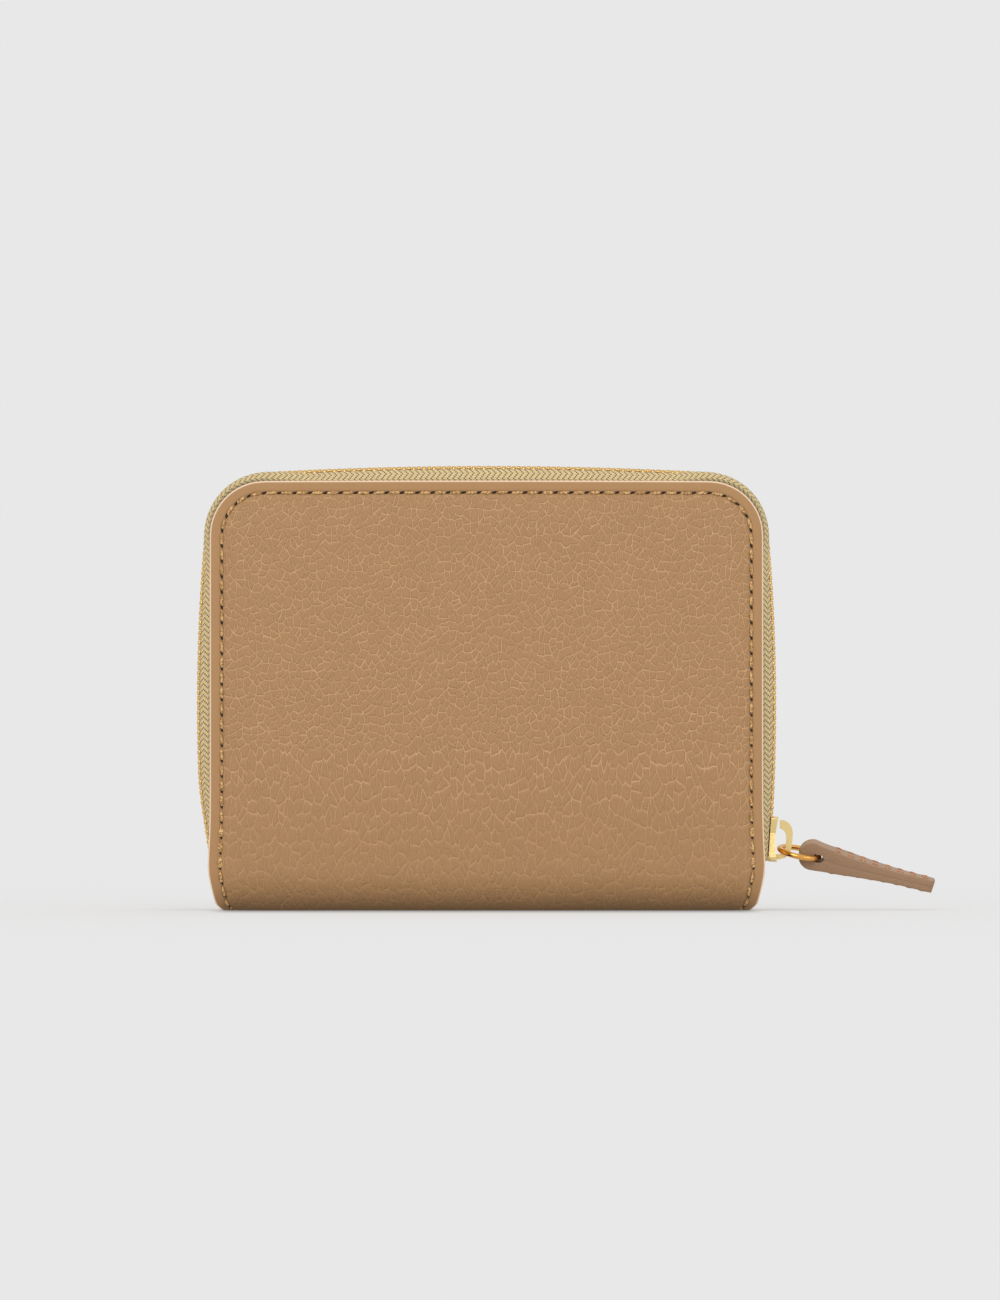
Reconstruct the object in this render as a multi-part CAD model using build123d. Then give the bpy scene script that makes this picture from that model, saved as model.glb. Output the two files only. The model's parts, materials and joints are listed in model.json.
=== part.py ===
from build123d import *
import os
from math import acos, asin, atan, atan2, cos, degrees, hypot, radians, sin

# A compact zip-around wallet that stands on its spine. One leather cover is folded into a U, a metal zip
# runs up one side, over the top and down the other, and a pleated coin pocket stands in the middle.
# +X runs along the spine towards the zip pull, -Y is the front and +Z is up. The origin is the middle of
# the spine's flat foot. Sizes are in millimetres.

# Covers
COVER_WIDTH = 110.8
COVER_HEIGHT = 86.1
COVER_CORNER = 10.5
WALLET_DEPTH = 25.0
SPINE_RADIUS = 7.5
LEATHER = 1.4
WAIST_HEIGHT = 8.2  # the sides curve in below this height
WAIST_FLARE = 0.4
WAIST_CURVE = 18.0
SPINE_NARROWING = 1.7
FOLD_GAP = 0.1  # slit between the spine and each cover, along the fold

# Zip chain: the line that the teeth follow round the middle of the wallet
CHAIN_OVERHANG = 1.85  # how far it stands out beside the covers at its fullest
CHAIN_RISE = 2.15  # how far it stands above them
CHAIN_SIDE_RADIUS = 400.0
CHAIN_SIDE_MIDDLE = 41.0  # height at which the sides stand out most
CHAIN_TOP_RADIUS = 800.0
CHAIN_CORNER = 14.0
CHAIN_FOOT = 9.6

# Zip teeth and tapes
TOOTH_PITCH = 2.0
TOOTH_THICKNESS = 0.85
TOOTH_REACH = 0.75  # past the middle line, between the other row's teeth
TOOTH_LEGS = 1.9
TOOTH_HEIGHT = 1.9
TAPE = 0.6
TAPE_EDGE = 0.9  # the tape's edge, from the middle line
TAPE_FLAT = 4.6  # the tape lies flat this far from the middle line, inside the slider
TAPE_FOOT = 8.5
TAPE_INSET = 0.8  # where the tape turns in behind the cover
SEAM_ALLOWANCE = 4.0
GRIP_CLEARANCE = 0.02  # each side of the tape
BED_CLEARANCE = 0.12  # between the tape's edge and the fork of each tooth
TOOTH_CHAMFER = 0.3

# Slider
SLIDER_HEIGHT = 14.3  # its middle, when the zip is closed
SLIDER_LENGTH = 9.0
SLIDER_REAR = 2.8
SLIDER_NOSE = 4.6
SLIDER_SHOULDER = 1.2  # where the plates start to widen, from the slider's middle
SLIDER_CORNER = 0.5
SLIDER_LIP = 0.55
SLIDER_SLOT = 0.5
SLIDER_ROOF = 1.1
SLIDER_BACK = 1.8
SLIDER_FACE = (2.0, 1.65, 2.2)  # height of the front plate at the rear, middle and nose
POST_CLEARANCE = 0.1
POST_SETBACK = 0.15  # behind the plates' nose
POST_ROOT = 0.2  # let into each plate
ROW_SPREAD = 0.38  # slope at which the two rows part in the slider's nose
CROWN_WIDTH = 2.0

# Pull
RING_RADIUS = 4.0
RING_WIRE = 1.15
RING_SEAT = (-1.8, 2.72)  # the ring's place in the crown: along the slider, and out from the chain
RING_DROOP = 12.0
PULL_ROLL = 11.3
TAB_DROOP = 6.0
TAB_LENGTH = 27.7
TAB_WIDTH = 6.0
TAB_NECK = 4.6
TAB_THICKNESS = 2.5
TAB_HEAD_RADIUS = 2.8
TAB_HOLE = (4.2, 2.0)  # length and height of the slot that the ring passes through
TAB_HOLE_LEAD = 0.8  # the slot reaches this far past the ring wire's middle
TAB_TAPER = 7.0  # where the head has narrowed to the tail
TAB_NECK_END = 1.0  # past the slot's lead
TAB_SHOULDER = 3.0  # length over which the neck widens
TAB_CORNER = 0.8
TAB_END_ROUNDING = 0.6

# Layers behind each cover
TAPE_MARGIN = 0.6
BOARD = 0.8
LINING = 0.5
LINING_INSET = 1.5
LAYER_GAP = 0.1
POCKET_SHEET = 0.7
POCKET_INSET = 7.4  # from the cover's side edge
POCKET_FOOT = 10.5
POCKET_DROPS = (12.1, 23.1, 34.1)  # the pockets' top edges, below the cover's
BOARD_FOOT = 9.2
POCKET_CORNER = 3.0
THUMB_NOTCH = (9.0, 2.2)  # radius and depth of the dip in each pocket's top edge

# Coin pocket and gussets
COIN_INSET = 3.4  # from the cover's side edge
COIN_DROP = 20.1  # the coin pocket's top edge, below the cover's
COIN_WALL = 0.8
COIN_SPACE = 4.4
COIN_FOOT_GAP = 0.3
GUSSET_SHEET = 0.5
GUSSET_INSET = 1.2  # from the coin pocket's side edge
GUSSET_FOLD = 2.2
GUSSET_DROP = 4.0  # its top edge, below the coin pocket's
GUSSET_FOOT = 10.0
PLEAT_INSET = 1.5
PLEAT_FOLD = 4.0
PLEAT_DROP = 2.0

# Seams
STITCH_INSET = 2.4
STITCH_PITCH = 3.08
STITCH = (2.3, 0.5, 0.35)  # length, width and depth of one stitch
GROOVE = (0.8, 0.4)  # width and depth of the groove that the stitches lie in
GROOVE_FOOT = 8.6
TAB_STITCH = (1.8, 0.45, 0.3)
TAB_STITCH_PITCH = 2.6
TAB_STITCH_INSET = 1.2
TAB_SEAM = (8.2, 21.5)  # where the tab's seams start and end, from the ring wire

# Values that follow
HALF_DEPTH = WALLET_DEPTH / 2
COVER_BACK = HALF_DEPTH - LEATHER
LINING_BACK = COVER_BACK - BOARD
POCKET_BACK = LINING_BACK - LINING - LAYER_GAP
FOLD_Y = HALF_DEPTH - SPINE_RADIUS
COIN_HALF_WIDTH = COVER_WIDTH / 2 - COIN_INSET
COIN_TOP = COVER_HEIGHT - COIN_DROP
SPREAD_TURN = atan(ROW_SPREAD)
HALF_WIRE = RING_WIRE / 2
ROOM = 200.0  # larger than the wallet, for cutting blocks
OVERRUN = 2.0  # how far an outline runs on past the cut that ends it


def across(face, low_y, high_y):
    """A face drawn as (x, z), made solid from low_y to high_y."""
    return extrude(Plane.XZ.offset(-high_y) * face, high_y - low_y, dir=(0, -1, 0))


def along_x(face, low_x, high_x):
    """A face drawn as (y, z), made solid from low_x to high_x."""
    return extrude(Plane.YZ.offset(low_x) * face, high_x - low_x, dir=(1, 0, 0))


def upward(face, low_z, high_z):
    """A face drawn as (x, y), made solid from low_z to high_z."""
    return Pos(0, 0, low_z) * extrude(face, high_z - low_z, dir=(0, 0, 1))


def block(low, high):
    size = [b - a for a, b in zip(low, high)]
    middle = [(a + b) / 2 for a, b in zip(low, high)]
    return Pos(*middle) * Box(*size)


def above(height):
    return block((-ROOM, -ROOM, height), (ROOM, ROOM, ROOM))


def sheet(half_width, foot, top, corner):
    """A flat sheet's face, drawn as (x, z), with rounded corners."""
    middle = (foot + top) / 2
    return Pos(0, middle) * RectangleRounded(2 * half_width, top - foot, corner)


def cover_outline(inset=0.0):
    """The cover seen from the front, drawn as (x, z), this far inside its edge."""
    half, top = COVER_WIDTH / 2 - inset, COVER_HEIGHT - inset
    waist, foot = half + WAIST_FLARE, half - SPINE_NARROWING
    right = [(foot, 0), (waist, WAIST_HEIGHT), (half, COVER_HEIGHT / 2), (half, top)]
    face = make_face(Polyline(*right, *mirrored(right), close=True))
    face = fillet(face.vertices().sort_by(Axis.Y)[-2:], COVER_CORNER - inset)
    return fillet([v for v in face.vertices() if abs(v.Y - WAIST_HEIGHT) < 0.01], WAIST_CURVE)


def mirrored(points):
    """The same points on the other side of the line x = 0, in the opposite order."""
    return [(-x, z) for x, z in reversed(points)]


def u_section(depth):
    """The wallet's cross-section, drawn as (y, z), this far inside its outer face."""
    half = HALF_DEPTH - depth
    face = make_face(Polyline((-half, depth), (half, depth), (half, ROOM), (-half, ROOM), close=True))
    return fillet(face.vertices().sort_by(Axis.Y)[:2], SPINE_RADIUS - depth)


def spine_wedge(gap):
    """The middle of the U: what lies between the two folds, grown by gap."""
    apex, reach = SPINE_RADIUS + gap * 2**0.5, ROOM / 2
    left = [(-FOLD_Y, apex), (-FOLD_Y - reach, apex - reach)]
    points = [*left, *mirrored(left)]
    return along_x(make_face(Polyline(*points, close=True)), -ROOM, ROOM)


def bent_sheet(outer, inner, outline):
    """A sheet that runs down the front, round the spine and up the back: its spine and its front."""
    whole = along_x(u_section(outer) - u_section(inner), -ROOM, ROOM) & across(outline, -ROOM, ROOM)
    front = (whole - spine_wedge(FOLD_GAP)) & block((-ROOM, -ROOM, -1), (ROOM, 0, ROOM))
    return whole & spine_wedge(0), front


def rim_path(inset, foot):
    """A line inside the cover's edge, drawn as (x, z), from the right foot to the left."""
    half, top = COVER_WIDTH / 2 - inset, COVER_HEIGHT - inset
    corners = [(half, foot), (half, top), (-half, top), (-half, foot)]
    return FilletPolyline(*corners, radius=COVER_CORNER - inset)


def rim_face(inset, foot):
    path = rim_path(inset, foot)
    return make_face([*path.edges(), Line(path @ 1, path @ 0)])


def circles_meet(first, first_radius, second, second_radius):
    """The upper of the two points where two circles cross."""
    dx, dz = second[0] - first[0], second[1] - first[1]
    gap = hypot(dx, dz)
    turn = acos((gap**2 + first_radius**2 - second_radius**2) / (2 * gap * first_radius))
    angles = [atan2(dz, dx) + turn, atan2(dz, dx) - turn]
    points = [(first[0] + first_radius * cos(a), first[1] + first_radius * sin(a)) for a in angles]
    return max(points, key=lambda point: point[1])


CHAIN_HALF_WIDTH = COVER_WIDTH / 2 + CHAIN_OVERHANG
CHAIN_TOP = COVER_HEIGHT + CHAIN_RISE
SIDE_CENTRE = (CHAIN_HALF_WIDTH - CHAIN_SIDE_RADIUS, CHAIN_SIDE_MIDDLE)
TOP_CENTRE = (0.0, CHAIN_TOP - CHAIN_TOP_RADIUS)
CORNER_CENTRE = circles_meet(
    SIDE_CENTRE, CHAIN_SIDE_RADIUS - CHAIN_CORNER, TOP_CENTRE, CHAIN_TOP_RADIUS - CHAIN_CORNER
)


def side_angle(height):
    """Where a height lies on the chain's side arc, in radians from the arc's middle."""
    return asin((height - CHAIN_SIDE_MIDDLE) / CHAIN_SIDE_RADIUS)


def chain_edges(shift=0.0, foot=CHAIN_FOOT):
    """The chain's line moved outwards by shift, drawn as (x, z): five arcs from right foot to left."""
    start = degrees(side_angle(foot))
    side_end = degrees(atan2(CORNER_CENTRE[1] - SIDE_CENTRE[1], CORNER_CENTRE[0] - SIDE_CENTRE[0]))
    top_start = degrees(atan2(CORNER_CENTRE[1] - TOP_CENTRE[1], CORNER_CENTRE[0]))
    side, corner, top = CHAIN_SIDE_RADIUS + shift, CHAIN_CORNER + shift, CHAIN_TOP_RADIUS + shift
    left_corner = (-CORNER_CENTRE[0], CORNER_CENTRE[1])
    left_side = (-SIDE_CENTRE[0], SIDE_CENTRE[1])
    return [
        CenterArc(SIDE_CENTRE, side, start, side_end - start),
        CenterArc(CORNER_CENTRE, corner, side_end, top_start - side_end),
        CenterArc(TOP_CENTRE, top, top_start, 180 - 2 * top_start),
        CenterArc(left_corner, corner, 180 - top_start, top_start - side_end),
        CenterArc(left_side, side, 180 - side_end, side_end - start),
    ]


def chain_face(shift):
    edges = chain_edges(shift, foot=TAPE_FOOT - OVERRUN)
    return make_face([*edges, Line(edges[-1] @ 1, edges[0] @ 0)])


CHAIN = Plane.XZ * Wire([edge.edge() for edge in chain_edges()])
TEETH = int(CHAIN.length / TOOTH_PITCH)
FIRST_TOOTH = (CHAIN.length - (TEETH - 0.5) * TOOTH_PITCH) / 2


def chain_plane(distance):
    """A place on the chain: local X runs along it, Y points to the front and Z out of the wallet."""
    point = CHAIN.position_at(distance, position_mode=PositionMode.LENGTH)
    ahead = CHAIN.tangent_at(distance, position_mode=PositionMode.LENGTH)
    return Plane(origin=point, x_dir=ahead, z_dir=ahead.cross(Vector(0, -1, 0)))


SLIDER_AT = CHAIN_SIDE_RADIUS * (side_angle(SLIDER_HEIGHT) - side_angle(CHAIN_FOOT))
SLIDER_PLANE = chain_plane(SLIDER_AT)


def row_start(side):
    """Where a row's first tooth stands on the chain. The back row, side -1, is half a pitch further on."""
    return FIRST_TOOTH + (0 if side > 0 else TOOTH_PITCH / 2)


def parting(side):
    """Where a row leaves the middle line, which is midway between two of its teeth in the slider."""
    steps = round((SLIDER_AT - row_start(side)) / TOOTH_PITCH - 0.5)
    return row_start(side) + (steps + 0.5) * TOOTH_PITCH


def tooth():
    """One front tooth: a head that passes the middle line and two legs that grip the tape."""
    half, grip = TOOTH_HEIGHT / 2, TAPE / 2 + GRIP_CLEARANCE
    bed = TAPE_EDGE - BED_CLEARANCE
    upper = [
        (TOOTH_LEGS, grip),
        (TOOTH_LEGS, half - TOOTH_CHAMFER),
        (TOOTH_LEGS - TOOTH_CHAMFER, half),
        (TOOTH_CHAMFER - TOOTH_REACH, half),
        (-TOOTH_REACH, half - TOOTH_CHAMFER),
    ]
    outline = [(bed, grip), *upper, *[(y, -z) for y, z in reversed(upper)], (bed, -grip)]
    return along_x(make_face(Polyline(*outline, close=True)), -TOOTH_THICKNESS / 2, TOOTH_THICKNESS / 2)


def teeth_row(side):
    """All the teeth of the front row, side 1, or the back row, side -1."""
    one = tooth() if side > 0 else mirror(tooth(), Plane.XZ)
    row = []
    for i in range(TEETH):
        at = row_start(side) + i * TOOTH_PITCH
        apart = max(0.0, parting(side) - at)
        turn = -side * degrees(SPREAD_TURN) * min(1, apart / TOOTH_PITCH)
        away = Pos(0, side * ROW_SPREAD * apart, 0) * Rot(0, 0, turn)
        row.append(chain_plane(at).location * away * one)
    return Compound([s for shape in row for s in shape.solids()])


def tape(side):
    """A tape: flat beside the teeth, sloping in to the cover's edge, with a margin sewn behind it.
    Both are drawn at the front. The back one, side -1, only differs where its row leaves the
    other."""

    def shell(grow):
        places = [(chain_face(grow), TAPE_EDGE), (chain_face(grow), TAPE_FLAT)]
        places.append((rim_face(TAPE_INSET - grow, TAPE_FOOT - OVERRUN), COVER_BACK))
        return loft([Plane.XZ.offset(y) * face for face, y in places], ruled=True)

    band = shell(TAPE / 2) - shell(-TAPE / 2)
    outer, inner = TAPE_INSET - TAPE / 2, TAPE_INSET + SEAM_ALLOWANCE
    margin = rim_face(outer, TAPE_FOOT - OVERRUN) - rim_face(inner, TAPE_FOOT - 2 * OVERRUN)
    whole = band + across(margin, -COVER_BACK, TAPE_MARGIN - COVER_BACK)
    return (whole & above(TAPE_FOOT)) - tape_notch(side)


def tape_notch(side):
    """What is cut from the front of a tape's edge below the place where its row leaves the other."""
    start, end = parting(side) - SLIDER_AT, -SLIDER_AT - TAPE_FOOT
    spread = TAPE_EDGE + ROW_SPREAD * (start - end)
    face = make_face(Polyline((start, 0), (start, TAPE_EDGE), (end, spread), (end, 0), close=True))
    return SLIDER_PLANE.location * upward(face, -OVERRUN, OVERRUN)


def slider_plan(inset, rear_end, nose_end):
    """The slider's outline, drawn as (along, across), this far inside its sides."""
    rear, nose = SLIDER_REAR - inset, SLIDER_NOSE - inset
    widest = SLIDER_SHOULDER - (nose - rear) / ROW_SPREAD
    upper = [(nose_end, nose), (widest, nose), (SLIDER_SHOULDER, rear), (rear_end, rear)]
    return make_face(Polyline(*upper, *[(s, -y) for s, y in reversed(upper)], close=True))


def slider():
    """Two plates joined by a post in the nose, with lips that hold the teeth and an open-ended crown."""
    half = SLIDER_LENGTH / 2
    rear, middle, nose = SLIDER_FACE
    plan = slider_plan(0, half, -half)
    plan = fillet(plan.vertices(), SLIDER_CORNER)
    face_arc = ThreePointArc((half, rear), (0, middle), (-half, nose))
    sides = Polyline((-half, nose), (-half, SLIDER_SLOT), (half, SLIDER_SLOT), (half, rear))
    profile = make_face([*face_arc.edges(), *sides.edges()])
    front_plate = across(profile, -SLIDER_NOSE, SLIDER_NOSE) & upward(plan, 0, nose + OVERRUN)
    back_plate = upward(plan, -SLIDER_BACK, -SLIDER_SLOT)
    channel = upward(slider_plan(SLIDER_LIP, ROOM, -ROOM), -SLIDER_ROOF, SLIDER_ROOF)
    return SLIDER_PLANE.location * ((front_plate + back_plate - channel) + post() + crown())


def post():
    """The wedge that parts the rows, in the slider's nose."""
    end = POST_SETBACK - SLIDER_LENGTH / 2
    heads = TOOTH_REACH * cos(SPREAD_TURN) + TOOTH_THICKNESS / 2 * sin(SPREAD_TURN)
    half = ROW_SPREAD * (-end - TOOTH_PITCH / 4) - heads - POST_CLEARANCE
    tip = end + half / ROW_SPREAD
    face = make_face(Polyline((tip, 0), (end, half), (end, -half), close=True))
    return upward(face, -SLIDER_ROOF - POST_ROOT, SLIDER_ROOF + POST_ROOT)


def crown():
    """The bridge that the ring hangs in: joined to the plate at the nose, its other end open."""
    rise = [(-4.0, 1.6), (-3.9, 3.1), (-3.15, 4.35), (-1.6, 5.0), (0.4, 5.1)]
    outer = Spline(*rise, (2.2, 4.95), (3.4, 4.15), (3.9, 3.0), (3.85, 2.35))
    end = Line((3.85, 2.35), (2.2, 2.45))
    fall = [(2.2, 2.45), (1.75, 3.3), (0.9, 3.8), (-0.3, 3.88)]
    inner = Spline(*fall, (-1.6, 3.85), (-2.65, 3.25), (-3.0, 2.1))
    foot = Polyline((-3.0, 2.1), (-3.0, 1.4), (-4.0, 1.4), (-4.0, 1.6))
    face = make_face([*outer.edges(), *end.edges(), *inner.edges(), *foot.edges()])
    return across(face, -CROWN_WIDTH / 2, CROWN_WIDTH / 2)


def pull_planes():
    """The ring's plane, centred on the ring, and the tab's, centred on the ring wire in its slot."""
    seat = (SLIDER_PLANE.location * Pos(RING_SEAT[0], 0, RING_SEAT[1])).position
    droop, roll = radians(RING_DROOP), radians(PULL_ROLL)
    out = Vector(cos(droop), 0, -sin(droop))
    up = Vector(sin(droop), 0, cos(droop))
    normal = up * cos(roll) + Vector(0, -1, 0) * sin(roll)
    ring = Plane(origin=seat + out * RING_RADIUS, x_dir=out, z_dir=normal)
    bend = radians(TAB_DROOP)
    far = seat + out * 2 * RING_RADIUS
    along = out * cos(bend) - normal * sin(bend)
    tab = Plane(origin=far, x_dir=along, z_dir=normal * cos(bend) + out * sin(bend))
    return seat, ring, tab


SEAT, RING_PLANE, TAB_PLANE = pull_planes()


def tab_shape():
    """A strap folded round the ring: round head, flat doubled tail, and a neck where the ring passes."""
    head, half = TAB_HOLE_LEAD - TAB_HOLE[0] / 2, TAB_THICKNESS / 2
    tail = head - TAB_HEAD_RADIUS + TAB_LENGTH
    upper = [(head, TAB_HEAD_RADIUS), (TAB_TAPER, half), (tail, half)]
    strap = make_face(Polyline(*upper, *[(x, -z) for x, z in reversed(upper)], close=True))
    side = Pos(head, 0) * Circle(TAB_HEAD_RADIUS) + strap
    side = fillet(side.vertices().sort_by(Axis.X)[-2:], TAB_END_ROUNDING)
    side -= Pos(head, 0) * SlotOverall(*TAB_HOLE)
    neck, wide, neck_end = TAB_NECK / 2, TAB_WIDTH / 2, TAB_HOLE_LEAD + TAB_NECK_END
    edge = [(-ROOM, neck), (neck_end, neck), (neck_end + TAB_SHOULDER, wide)]
    edge += [(tail - TAB_CORNER, wide), (tail, wide - TAB_CORNER)]
    plan = make_face(Polyline(*edge, *[(x, -y) for x, y in reversed(edge)], close=True))
    return TAB_PLANE.location * (across(side, -wide, wide) & upward(plan, -ROOM, ROOM))


def seam():
    """The front cover's stitches, sunk in their groove."""
    path = Plane.XZ * rim_path(STITCH_INSET, GROOVE_FOOT + STITCH[0])
    count = int(path.length / STITCH_PITCH)
    start = (path.length - (count - 1) * STITCH_PITCH) / 2
    middle_y = GROOVE[1] - HALF_DEPTH - STITCH[2] / 2
    row = []
    for i in range(count):
        at = start + i * STITCH_PITCH
        point = path.position_at(at, position_mode=PositionMode.LENGTH)
        ahead = path.tangent_at(at, position_mode=PositionMode.LENGTH)
        place = Plane(origin=(point.X, middle_y, point.Z), x_dir=ahead, z_dir=(0, -1, 0))
        row.append((place.location * Box(*STITCH)).solid())
    return Compound(row)


def tab_seam():
    """Two rows of stitches on each face of the pull tab."""
    across_tab = TAB_WIDTH / 2 - TAB_STITCH_INSET
    proud = (TAB_THICKNESS + TAB_STITCH[2]) / 2
    start, end = TAB_SEAM
    row = []
    for i in range(int((end - start) / TAB_STITCH_PITCH) + 1):
        for side in (-across_tab, across_tab):
            for height in (-proud, proud):
                place = TAB_PLANE.location * Pos(start + i * TAB_STITCH_PITCH, side, height)
                row.append((place * Box(*TAB_STITCH)).solid())
    return Compound(row)


def groove():
    """The stitch groove's cutter on the front cover."""
    ring = rim_face(STITCH_INSET - GROOVE[0] / 2, 0) - rim_face(STITCH_INSET + GROOVE[0] / 2, -1)
    return across(ring, -HALF_DEPTH - 1, GROOVE[1] - HALF_DEPTH) & above(GROOVE_FOOT)


def card_pocket(number, top):
    """A stepped pocket sheet, counted from the lining, with a thumb notch in its top edge."""
    outer = POCKET_BACK - number * (POCKET_SHEET + LAYER_GAP)
    radius, depth = THUMB_NOTCH
    notch = Pos(0, top + radius - depth) * Circle(radius)
    face = sheet(COVER_WIDTH / 2 - POCKET_INSET, POCKET_FOOT, top, POCKET_CORNER) - notch
    return across(face, -outer, POCKET_SHEET - outer)


def coin_wall():
    foot = LEATHER + BOARD + LINING + COIN_FOOT_GAP
    face = sheet(COIN_HALF_WIDTH, foot, COIN_TOP, POCKET_CORNER)
    return across(face, -COIN_SPACE / 2 - COIN_WALL, -COIN_SPACE / 2)


def pleat(edge, depth, low_y, high_y, foot, top):
    """An upright sheet between two y positions, its edges at x = edge and folded inwards by depth."""
    line = [(edge, low_y), (edge - depth, (low_y + high_y) / 2), (edge, high_y)]
    back = [(x + GUSSET_SHEET, y) for x, y in reversed(line)]
    return upward(make_face(Polyline(*line, *back, close=True)), foot, top)


def coin_pleat():
    """The right-hand side of the coin pocket."""
    room = COIN_SPACE / 2 - LAYER_GAP
    edge, top = COIN_HALF_WIDTH - PLEAT_INSET, COIN_TOP - PLEAT_DROP
    return pleat(edge, PLEAT_FOLD, -room, room, GUSSET_FOOT, top)


def gusset():
    """The right-hand gusset between the front lining and the coin pocket."""
    outer = LINING_BACK - LINING - LAYER_GAP
    inner = COIN_SPACE / 2 + COIN_WALL + LAYER_GAP
    edge, top = COIN_HALF_WIDTH - GUSSET_INSET, COIN_TOP - GUSSET_DROP
    return pleat(edge, GUSSET_FOLD, -outer, -inner, GUSSET_FOOT, top)


def save(name, shape):
    solids = shape.solids()
    export_step(solids[0] if len(solids) == 1 else Compound(solids), f"parts/{name}.step")


def save_pair(name, front):
    """A piece of the front half, and its mirror image in the back half."""
    save(f"front_{name}", front)
    save(f"back_{name}", mirror(front, Plane.XZ))


def main():
    os.makedirs("parts", exist_ok=True)
    inner, outer = LEATHER + BOARD, LEATHER + BOARD + LINING
    spine, front_cover = bent_sheet(0, LEATHER, cover_outline())
    spine_lining, front_lining = bent_sheet(inner, outer, cover_outline(LINING_INSET))
    save("spine_leather", spine)
    save("spine_lining", spine_lining)
    save_pair("cover_leather", front_cover - groove())
    save_pair("lining", front_lining)

    board_inset = TAPE_INSET + SEAM_ALLOWANCE + LAYER_GAP
    board_half, board_top = COVER_WIDTH / 2 - board_inset, COVER_HEIGHT - board_inset
    board = sheet(board_half, BOARD_FOOT, board_top, COVER_CORNER - board_inset)
    save_pair("stiffener_board", across(board, -COVER_BACK, -LINING_BACK))
    for number, (name, drop) in enumerate(zip(("upper", "middle", "lower"), POCKET_DROPS)):
        save_pair(f"card_pocket_{name}", card_pocket(number, COVER_HEIGHT - drop))
    save_pair("seam_thread", seam())

    save("front_zip_tape", tape(1))
    save("back_zip_tape", mirror(tape(-1), Plane.XZ))
    save("front_zip_teeth", teeth_row(1))
    save("back_zip_teeth", teeth_row(-1))

    wall, side, fan = coin_wall(), coin_pleat(), gusset()
    save("coin_pocket_front_wall", wall)
    save("coin_pocket_back_wall", mirror(wall, Plane.XZ))
    save("coin_pocket_right_pleat", side)
    save("coin_pocket_left_pleat", mirror(side, Plane.YZ))
    save_pair("right_gusset", fan)
    save_pair("left_gusset", mirror(fan, Plane.YZ))

    save("zip_slider", slider())
    save("pull_ring", RING_PLANE.location * Torus(RING_RADIUS, HALF_WIRE))
    save("pull_tab", tab_shape())
    save("pull_tab_thread", tab_seam())


main()
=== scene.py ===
# %% [markdown]
# # A zip-around wallet in tan leather
# The object is a small wallet that stands on its fold. A metal zip runs up one side, over the top and
# down the other, and a leather pull hangs from its slider. A imported model of it already holds every
# size, joint and moving body. This lesson dresses that model: each cell makes one piece or one finish,
# and some of the pieces are handed to the body that they move with.
#
# First comes the frame. Every place below is worked out from the boxes of its nodes.

# %% Load the frame
import json
import math

import bpy
import numpy as np
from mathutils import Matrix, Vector


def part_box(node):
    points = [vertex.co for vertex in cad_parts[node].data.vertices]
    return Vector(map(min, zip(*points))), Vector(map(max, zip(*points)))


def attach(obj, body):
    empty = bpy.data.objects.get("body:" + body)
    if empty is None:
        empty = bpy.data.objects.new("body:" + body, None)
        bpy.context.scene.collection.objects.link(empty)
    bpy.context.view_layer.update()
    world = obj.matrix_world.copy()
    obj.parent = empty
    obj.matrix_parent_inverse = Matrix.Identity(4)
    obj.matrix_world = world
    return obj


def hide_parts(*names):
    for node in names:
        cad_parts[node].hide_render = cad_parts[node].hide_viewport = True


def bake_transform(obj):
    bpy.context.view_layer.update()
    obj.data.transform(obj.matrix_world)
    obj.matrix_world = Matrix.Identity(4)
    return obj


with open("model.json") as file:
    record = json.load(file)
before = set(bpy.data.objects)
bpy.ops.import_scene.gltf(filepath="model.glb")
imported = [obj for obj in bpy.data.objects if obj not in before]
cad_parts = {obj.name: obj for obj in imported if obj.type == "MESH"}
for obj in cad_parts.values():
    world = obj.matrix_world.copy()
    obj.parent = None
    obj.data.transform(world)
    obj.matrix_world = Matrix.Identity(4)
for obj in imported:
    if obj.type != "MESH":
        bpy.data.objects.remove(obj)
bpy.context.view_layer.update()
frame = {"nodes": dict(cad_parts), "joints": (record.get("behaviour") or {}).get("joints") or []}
MM = 0.001

# %% [markdown]
# The whole wallet follows from a few measures: how wide, high and deep the covers are, how tightly the
# leather turns round the spine, and where the line of the zip runs. The boxes are read in millimetres,
# because leather work is measured in them, and only the finished meshes are in metres.

# %% Sizes of the wallet
def box_mm(node):
    """The lowest and highest corner of a node, in millimetres."""
    low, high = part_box(node)
    return np.array(low) / MM, np.array(high) / MM


cover_low, cover_high = box_mm("front_cover_leather")
spine_high = box_mm("spine_leather")[1]
teeth_high = box_mm("front_zip_teeth")[1]

WAIST_FLARE = 0.4  # how far the cover widens just above the spine
WAIST_HEIGHT = 8.2
WAIST_REACH = 7.0
SPINE_NARROWING = 1.5
SPINE_ROUND = 1.1  # how far the spine's ends are rounded off at the very bottom
CORNER = 10.9
CROWN = 0.15  # the top edge is a very flat arch
LEATHER = 1.4
HALF_DEPTH = -cover_low[1]
HALF_WIDTH = cover_high[0] - WAIST_FLARE
TOP = cover_high[2] - CROWN
FOLD = (HALF_DEPTH - spine_high[1]) / (1 - math.cos(math.pi / 4))  # radius of the turned leather
FOOT = HALF_DEPTH - FOLD  # half the spine's flat
ARC = FOLD * math.pi / 2
RISE = FOOT + ARC + TOP - FOLD  # from the spine's middle to the top edge, along the leather
print(f"cover {2 * HALF_WIDTH:.1f} x {TOP:.1f} mm, wallet {2 * HALF_DEPTH:.1f} mm deep")
print(f"the leather turns with a radius of {FOLD:.2f} mm")

# %% [markdown]
# A few small helpers are used everywhere: an S-curve between two values, the distance along a line, the
# faces of a grid of points, and a maker of mesh pieces. Each mesh keeps its place in its own points and
# its object stays at the origin, so that patterns sit still when the piece moves.

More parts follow.
